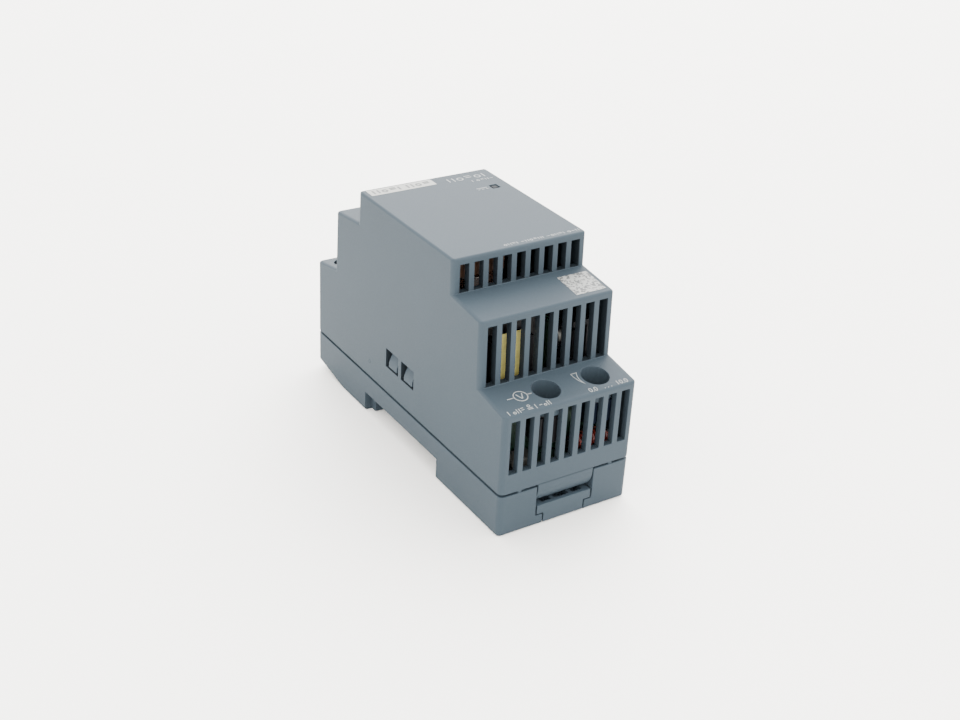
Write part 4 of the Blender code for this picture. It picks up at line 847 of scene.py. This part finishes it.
def line_coil(node):
    """Rounded rectangular turns lying on one another round a limb."""
    low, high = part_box(node)
    middle, size = (low + high) / 2, high - low
    wire, bore_x, bore_y = 0.52 * MM, 1.8 * MM, 2.8 * MM
    turn = block("turn", low, (high.x, high.y, low.z + wire))
    round_edges(turn, lambda a, b: same(a.x, b.x) and same(a.y, b.y), 1.1 * MM, 4)
    eye = block("eye", (middle.x - bore_x, middle.y - bore_y, low.z - MM),
                (middle.x + bore_x, middle.y + bore_y, high.z))
    round_edges(eye, lambda a, b: same(a.x, b.x) and same(a.y, b.y), 0.3 * MM, 2)
    carve(turn, eye)
    use(turn, "BEVEL", width=0.18 * MM, segments=2, limit_method="ANGLE", angle_limit=math.radians(60))
    row_of(turn, int(size.z / wire), (0, 0, size.z / int(size.z / wire)))
    settle(turn, node + "_fine")
    soften(turn, 0)
    dress(turn, "amber_copper", "casing", node)


def make_chokes():
    refined("line_choke_core", 0.3 * MM)
    for node in ("line_choke_winding_1", "line_choke_winding_2"):
        line_coil(node)
    refined("output_choke_core", 0.2 * MM)
    low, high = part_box("output_choke_winding")
    middle, radius = (low + high) / 2, (high.z - low.z) / 2
    wire = 0.47 * MM
    rows = []
    for layer, count in ((0, 10), (1, 9)):
        bpy.ops.object.select_all(action="DESELECT")
        bpy.ops.mesh.primitive_torus_add(rotation=(0, math.pi / 2, math.radians(4)), minor_radius=wire,
                                         major_segments=40, minor_segments=12,
                                         major_radius=radius - wire * (2.6 - 1.6 * layer))
        turn = row_of(settle(bpy.context.object, "turn"), count, (0.98 * wire * 2, 0, 0))
        turn.location = (middle.x - (count - 1) * 0.98 * wire, middle.y, middle.z)
        rows.append(settle(turn, "turns"))
    for side in (-1, 1):
        place = (middle.x + side * 4.2 * MM, middle.y + 1.7 * MM, low.z + 1.2 * MM)
        rows.append(rod("lead", place, wire, 2.6 * MM, sides=16))
    coil = joined("output_choke_winding_fine", *rows)
    soften(coil, 0)
    dress(coil, "red_copper", "casing", "output_choke_winding")


# --- Boards and small parts ---
def electrolytic(node):
    """A sleeved can with its scored aluminium top."""
    low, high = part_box(node)
    middle, radius = (low + high) / 2, (high.x - low.x) / 2
    refined(node, 0.2 * MM, 3)
    top = rod(node + "_top", (middle.x, middle.y, high.z), radius - 1.3 * MM, 0.12 * MM, sides=48)
    reach, half = radius - 2 * MM, 0.12 * MM
    for along_x, along_y in ((reach, half), (half, reach)):
        carve(top, block("score", (middle.x - along_x, middle.y - along_y, high.z),
                         (middle.x + along_x, middle.y + along_y, high.z + MM)))
    soften(top, 0.02 * MM)
    dress(top, "aluminium", "casing")


def chip_legs(name, low, high, across, along, count):
    """Two rows of formed legs beside a chip; across and along are axis numbers."""
    pitch = (high[along] - low[along]) / count
    rows = []
    for side in (0, 1):
        start, end = Vector(low), Vector(low)
        face = high[across] if side else low[across]
        start[across], end[across] = face - 0.1 * MM, face + 0.25 * MM
        if not side:
            start[across], end[across] = face - 0.25 * MM, face + 0.1 * MM
        start[along] = low[along] + pitch / 2 - 0.25 * MM
        end[along] = start[along] + 0.5 * MM
        end.z = low.z + 1.6 * MM
        step = [0, 0, 0]
        step[along] = pitch
        leg = block("leg", start, end)
        rows.append(row_of(leg, count, step))
    legs = joined(name, *rows)
    soften(legs, 0.05 * MM)
    return dress(legs, "tinned_copper", "casing")


def solder_joints(name, spots, radius=0.75 * MM):
    """Low domes of solder on the main board."""
    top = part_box("main_board")[1].z
    domes = []
    for x, y in spots:
        bpy.ops.object.select_all(action="DESELECT")
        bpy.ops.mesh.primitive_uv_sphere_add(segments=16, ring_count=8, radius=radius, location=(x, y, top))
        dome = bpy.context.object
        dome.scale.z = 0.3
        domes.append(settle(dome, "dome"))
    joints = joined(name, *domes)
    soften(joints, 0)
    return dress(joints, "solder", "casing")


def make_small_parts():
    for node in ("main_board", "front_board", "driver_board"):
        refined(node, 0.08 * MM)
    for node in ("bulk_capacitor", "output_capacitor_1", "output_capacitor_2"):
        electrolytic(node)
    for node in ("varistor", "thermistor", "y_capacitor"):
        refined(node, 0.35 * MM, 3)
    for node in ("x_capacitor", "bridge_rectifier", "fuse", "optocoupler", "control_chip", "indicator_led"):
        refined(node, 0.2 * MM)
    for node in ("output_diode", "power_transistor", "output_heat_sink", "power_heat_sink",
                 "output_heat_sink_screw", "power_heat_sink_screw"):
        refined(node, 0.12 * MM)
    low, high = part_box("optocoupler")
    chip_legs("optocoupler_legs", low, high, 1, 0, 2)
    spots = []
    for pole in POLES:
        low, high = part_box("contact_" + pole)
        spots.append(((low.x + high.x) / 2, low.y + 0.4 * MM))
    for node in ("varistor", "thermistor", "y_capacitor"):
        low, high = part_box(node)
        middle, reach = (low + high) / 2, (high.x - low.x) / 4
        spots += [(middle.x + side * reach, middle.y) for side in (-1, 1)]
    solder_joints("board_solder", spots)


# --- Front controls and indicator ---
def make_controls():
    refined("test_socket", 0.2 * MM)
    socket_top, rotor_top = (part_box(node)[1].z for node in ("test_socket", "trimmer_rotor"))
    rings = []
    for side in (-1, 1):
        centre = (SOCKET_X + side * 1.27 * MM, NEAR_HOLE_Y, socket_top)
        ring = rod("ring", centre, 0.85 * MM, 0.3 * MM, sides=32)
        rings.append(carve(ring, rod("bore", centre, 0.55 * MM, MM, sides=24)))
    rings = joined("test_socket_rings", *rings)
    soften(rings, 0.05 * MM)
    dress(rings, "tinned_copper", "casing")
    refined("trimmer_body", 0.15 * MM)
    arrow = block("arrow", (TRIMMER_X - 0.9 * MM, NEAR_HOLE_Y + 1.2 * MM, rotor_top - 0.15 * MM),
                  (TRIMMER_X + 0.9 * MM, NEAR_HOLE_Y + 1.5 * MM, rotor_top + MM))
    refined("trimmer_rotor", 0.15 * MM, cuts=[arrow])
    refined("light_pipe", 0.1 * MM)
    NODES["latch_spring"].data.materials.clear()
    NODES["latch_spring"].data.materials.append(FINISHES["spring_steel"])


# --- Printed marks ---
FILM = 0.03 * MM
LOW_SLOPE = math.atan2(PROFILE[1][1] - PROFILE[0][1], PROFILE[1][0] - PROFILE[0][0])
MID_SLOPE = math.atan2(PROFILE[3][1] - PROFILE[2][1], PROFILE[3][0] - PROFILE[2][0])


def bar(x, y, length, width, turn=0.0):
    """A printed bar with softened corners, lying flat about the origin's level."""
    mark = block("bar", (-length / 2, -width / 2, 0), (length / 2, width / 2, FILM))
    corner = min(0.3 * min(length, width), 0.15 * MM)
    round_edges(mark, lambda a, b: same(a.x, b.x, 1e-7) and same(a.y, b.y, 1e-7), corner, 2)
    mark.rotation_euler.z = turn
    mark.location = (x, y, 0)
    return settle(mark, "bar")


def ring(x, y, radius, width):
    mark = rod("ring", (x, y, FILM / 2), radius, FILM, sides=48)
    return carve(mark, rod("inside", (x, y, 0), radius - width, MM, sides=48))


def figures(text, x, y, height):
    """Dial figures as a thin solid."""
    bpy.ops.object.select_all(action="DESELECT")
    bpy.ops.object.text_add(location=(x, y, FILM / 2))
    mark = bpy.context.object
    mark.data.body = text
    mark.data.size = height * 1.38
    mark.data.extrude = FILM / 2
    mark.data.align_x = "CENTER"
    mark.data.align_y = "CENTER"
    mark.data.resolution_u = 3
    bpy.ops.object.convert(target="MESH")
    return settle(bpy.context.object, "figures")


def lay(name, marks, start_y, slope=0.0, finish="print"):
    """Lays flat marks on the hood's upper side: their y becomes the way along the tread from start_y."""
    mark = joined(name, *marks)
    mark.rotation_euler.x = slope
    mark.location = (0, start_y, tread_height(start_y) + 0.005 * MM)
    settle(mark, name)
    with editing(mark):
        bpy.ops.mesh.select_all(action="SELECT")
        bpy.ops.mesh.normals_make_consistent(inside=False)
    return dress(mark, finish, "casing")


def sign_row(x0, x1, y, height, signs, stroke=0.2 * MM):
    """Plain strokes, loops and dashes in place of lettering, spread evenly from x0 to x1."""
    pitch = (x1 - x0) / len(signs)
    marks = []
    for i, sign in enumerate(signs):
        x = x0 + (i + 0.5) * pitch
        if sign == "o":
            marks.append(ring(x, y - height / 2 + pitch * 0.36, pitch * 0.36, stroke))
        if sign in "iu":
            marks.append(bar(x - pitch * 0.28, y, stroke, height))
        if sign == "u":
            marks.append(bar(x + pitch * 0.28, y, stroke, height))
        if sign in "=-":
            marks.append(bar(x, y, pitch * 0.7, stroke))
        if sign == "=":
            marks.append(bar(x, y + height / 2 - stroke / 2, pitch * 0.7, stroke))
    return marks


def sickle(shrink, depth):
    """A wedge that bends round the trimmer's hole, wide at its top."""
    wedge = rod("wedge", (10.6 * MM, 7.2 * MM, 0), 5.93 * MM - shrink, depth, sides=128)
    return carve(wedge, rod("inner", (TRIMMER_X, 5.2 * MM, 0), 4.25 * MM + shrink, MM, sides=128),
                 block("right", (7.5 * MM, -9 * MM, -MM), (30 * MM, 20 * MM, MM)),
                 block("above", (0, 7.7 * MM - shrink, -MM), (30 * MM, 20 * MM, MM)),
                 block("below", (0, -9 * MM, -MM), (30 * MM, 3.3 * MM + 2 * shrink, MM)))


def low_tread_marks():
    """Tester sign and its dots, trimmer scale and wedge; y counts from the tread's near edge."""
    spot = (-10.45 * MM, 5.2 * MM)
    marks = [ring(*spot, 1.75 * MM, 0.22 * MM)]
    for x0, x1 in ((-14.0, -12.25), (-8.65, -7.5)):
        marks.append(bar((x0 + x1) / 2 * MM, spot[1], (x1 - x0) * MM, 0.22 * MM))
    for side in (-1, 1):
        marks.append(bar(spot[0] + side * 0.42 * MM, spot[1], 1.9 * MM, 0.24 * MM, side * math.radians(67)))
    marks += sign_row(-16.5 * MM, -12.0 * MM, 0.95 * MM, 1.4 * MM, "iou=")
    marks += sign_row(-9.4 * MM, -5.2 * MM, 0.95 * MM, 1.4 * MM, "i-ou")
    marks += [bar(-10.7 * MM, y * MM, 1.3 * MM, 0.18 * MM) for y in (0.55, 0.95)]
    marks.append(ring(-10.7 * MM, 1.65 * MM, 0.42 * MM, 0.18 * MM))
    marks += [figures("0.0", 6.4 * MM, 0.95 * MM, 1.4 * MM), figures("10.0", 14.4 * MM, 0.95 * MM, 1.4 * MM)]
    for x in (9.4, 10.3, 11.2):
        marks.append(bar(x * MM, 0.45 * MM, 0.22 * MM, 0.22 * MM))
    marks.append(carve(sickle(0, FILM), sickle(0.17 * MM, MM)))
    return marks


def top_marks():
    """Rows of signs and the indicator's label; y counts from the top face's near edge."""
    marks = sign_row(-3.9 * MM, 17.0 * MM, 1.4 * MM, 0.95 * MM, "ou=i-uo=ui-ou=io-u", 0.17 * MM)
    marks += sign_row(4.4 * MM, 16.9 * MM, 39.8 * MM, 2.1 * MM, "uo=oi", 0.3 * MM)
    marks += sign_row(10.0 * MM, 16.4 * MM, 37.2 * MM, 1.0 * MM, "io=u-", 0.2 * MM)
    marks.append(bar(9.9 * MM, 32.35 * MM, 3.0 * MM, 0.24 * MM))
    marks += [bar(x * MM, 31.6 * MM, 0.7 * MM, 0.24 * MM) for x in (8.75, 9.9, 11.05)]
    return marks


def make_marks():
    low_y, mid_y, top_y = -44.6 * MM, -33.5 * MM, -21.0 * MM
    lay("low_tread_marks", low_tread_marks(), low_y, LOW_SLOPE)
    lay("speckled_patch", [bar(12.5 * MM, 5.5 * MM, 8.2 * MM, 8.0 * MM)], mid_y, MID_SLOPE, "speckle")
    lay("top_marks", top_marks(), top_y)
    lay("name_plate", [bar(-7.65 * MM, 40.95 * MM, 17.9 * MM, 3.5 * MM)], top_y, finish="plate")
    signs = sign_row(-15.8 * MM, 0.5 * MM, 40.95 * MM, 1.9 * MM, "uo=iuo=", 0.5 * MM)
    for sign in signs:
        sign.location.z = FILM
        settle(sign, "sign")
    lay("name_plate_marks", signs, top_y, finish="plate_print")

    marks = []
    for i, (x, _) in enumerate(OUTPUT_POLES):
        marks.append(bar(x, -0.95 * MM, 1.4 * MM, 0.26 * MM))
        if i < 2:
            marks.append(bar(x, -0.95 * MM, 0.26 * MM, 1.4 * MM))
    lay("output_marks", marks, 34.2 * MM, -MID_SLOPE)
    marks = []
    for x, _ in INPUT_POLES:
        for side in (-1, 1):
            marks.append(bar(x + side * 0.6 * MM, -1.1 * MM, 1.3 * MM, 0.26 * MM, side * math.radians(28)))
    lay("input_marks", marks, 44.7 * MM, -LOW_SLOPE)


# --- Stage ---
CAMERA_AZIMUTH = math.radians(-33.71)
CAMERA_ELEVATION = math.radians(28.83)
CAMERA_ROLL = 0.056
CAMERA_DISTANCE = 350.8 * MM
CAMERA_TARGET = Vector((4.76, 0.15, 17.88)) * MM
CAMERA_LENS = 52.49


def make_camera():
    bpy.ops.object.camera_add()
    camera = bpy.context.object
    back = Vector((math.sin(CAMERA_AZIMUTH) * math.cos(CAMERA_ELEVATION),
                   -math.cos(CAMERA_AZIMUTH) * math.cos(CAMERA_ELEVATION), math.sin(CAMERA_ELEVATION)))
    camera.location = CAMERA_TARGET + back * CAMERA_DISTANCE
    camera.rotation_mode = "QUATERNION"
    camera.rotation_quaternion = back.to_track_quat("Z", "Y") @ Quaternion((0, 0, 1), CAMERA_ROLL)
    camera.data.sensor_width = 36
    camera.data.lens = CAMERA_LENS
    camera.data.clip_start = 0.01
    bpy.context.scene.camera = camera


def make_floor():
    bpy.ops.object.select_all(action="DESELECT")
    bpy.ops.mesh.primitive_plane_add(size=6, location=(0, 0, 0))
    floor = settle(bpy.context.object, "floor")
    finish = Finish("pale_floor", 0.6)
    finish.colour(finish.ramp(finish.noise(60 * MM, 3),
                              (0.3, (0.905, 0.895, 0.865)), (0.7, (0.925, 0.91, 0.88))))
    floor.data.materials.append(finish.material)


def softbox(name, place, aim, size, power, colour=(1, 1, 1)):
    bpy.ops.object.light_add(type="AREA", location=place)
    light = bpy.context.object
    light.name = name
    light.rotation_euler = (Vector(place) - Vector(aim)).to_track_quat("Z", "Y").to_euler()
    light.data.size = size
    light.data.energy = power
    light.data.color = colour


def make_light():
    """An even bright room and one large panel behind, which gives the top its sheen."""
    world = bpy.data.worlds.new("studio")
    bpy.context.scene.world = world
    world.use_nodes = True
    sky = world.node_tree.nodes["Background"].inputs
    sky["Color"].default_value = (1.0, 0.99, 0.968, 1)
    sky["Strength"].default_value = 4.85
    softbox("back_panel", (0.62, 0.75, 1.0), (0, 0, 0.03), 1.5, 56)


make_hood()
make_base()
make_latch()
make_terminals()
make_film()
make_transformer()
make_chokes()
make_small_parts()
make_controls()
make_marks()
make_camera()
make_floor()
make_light()
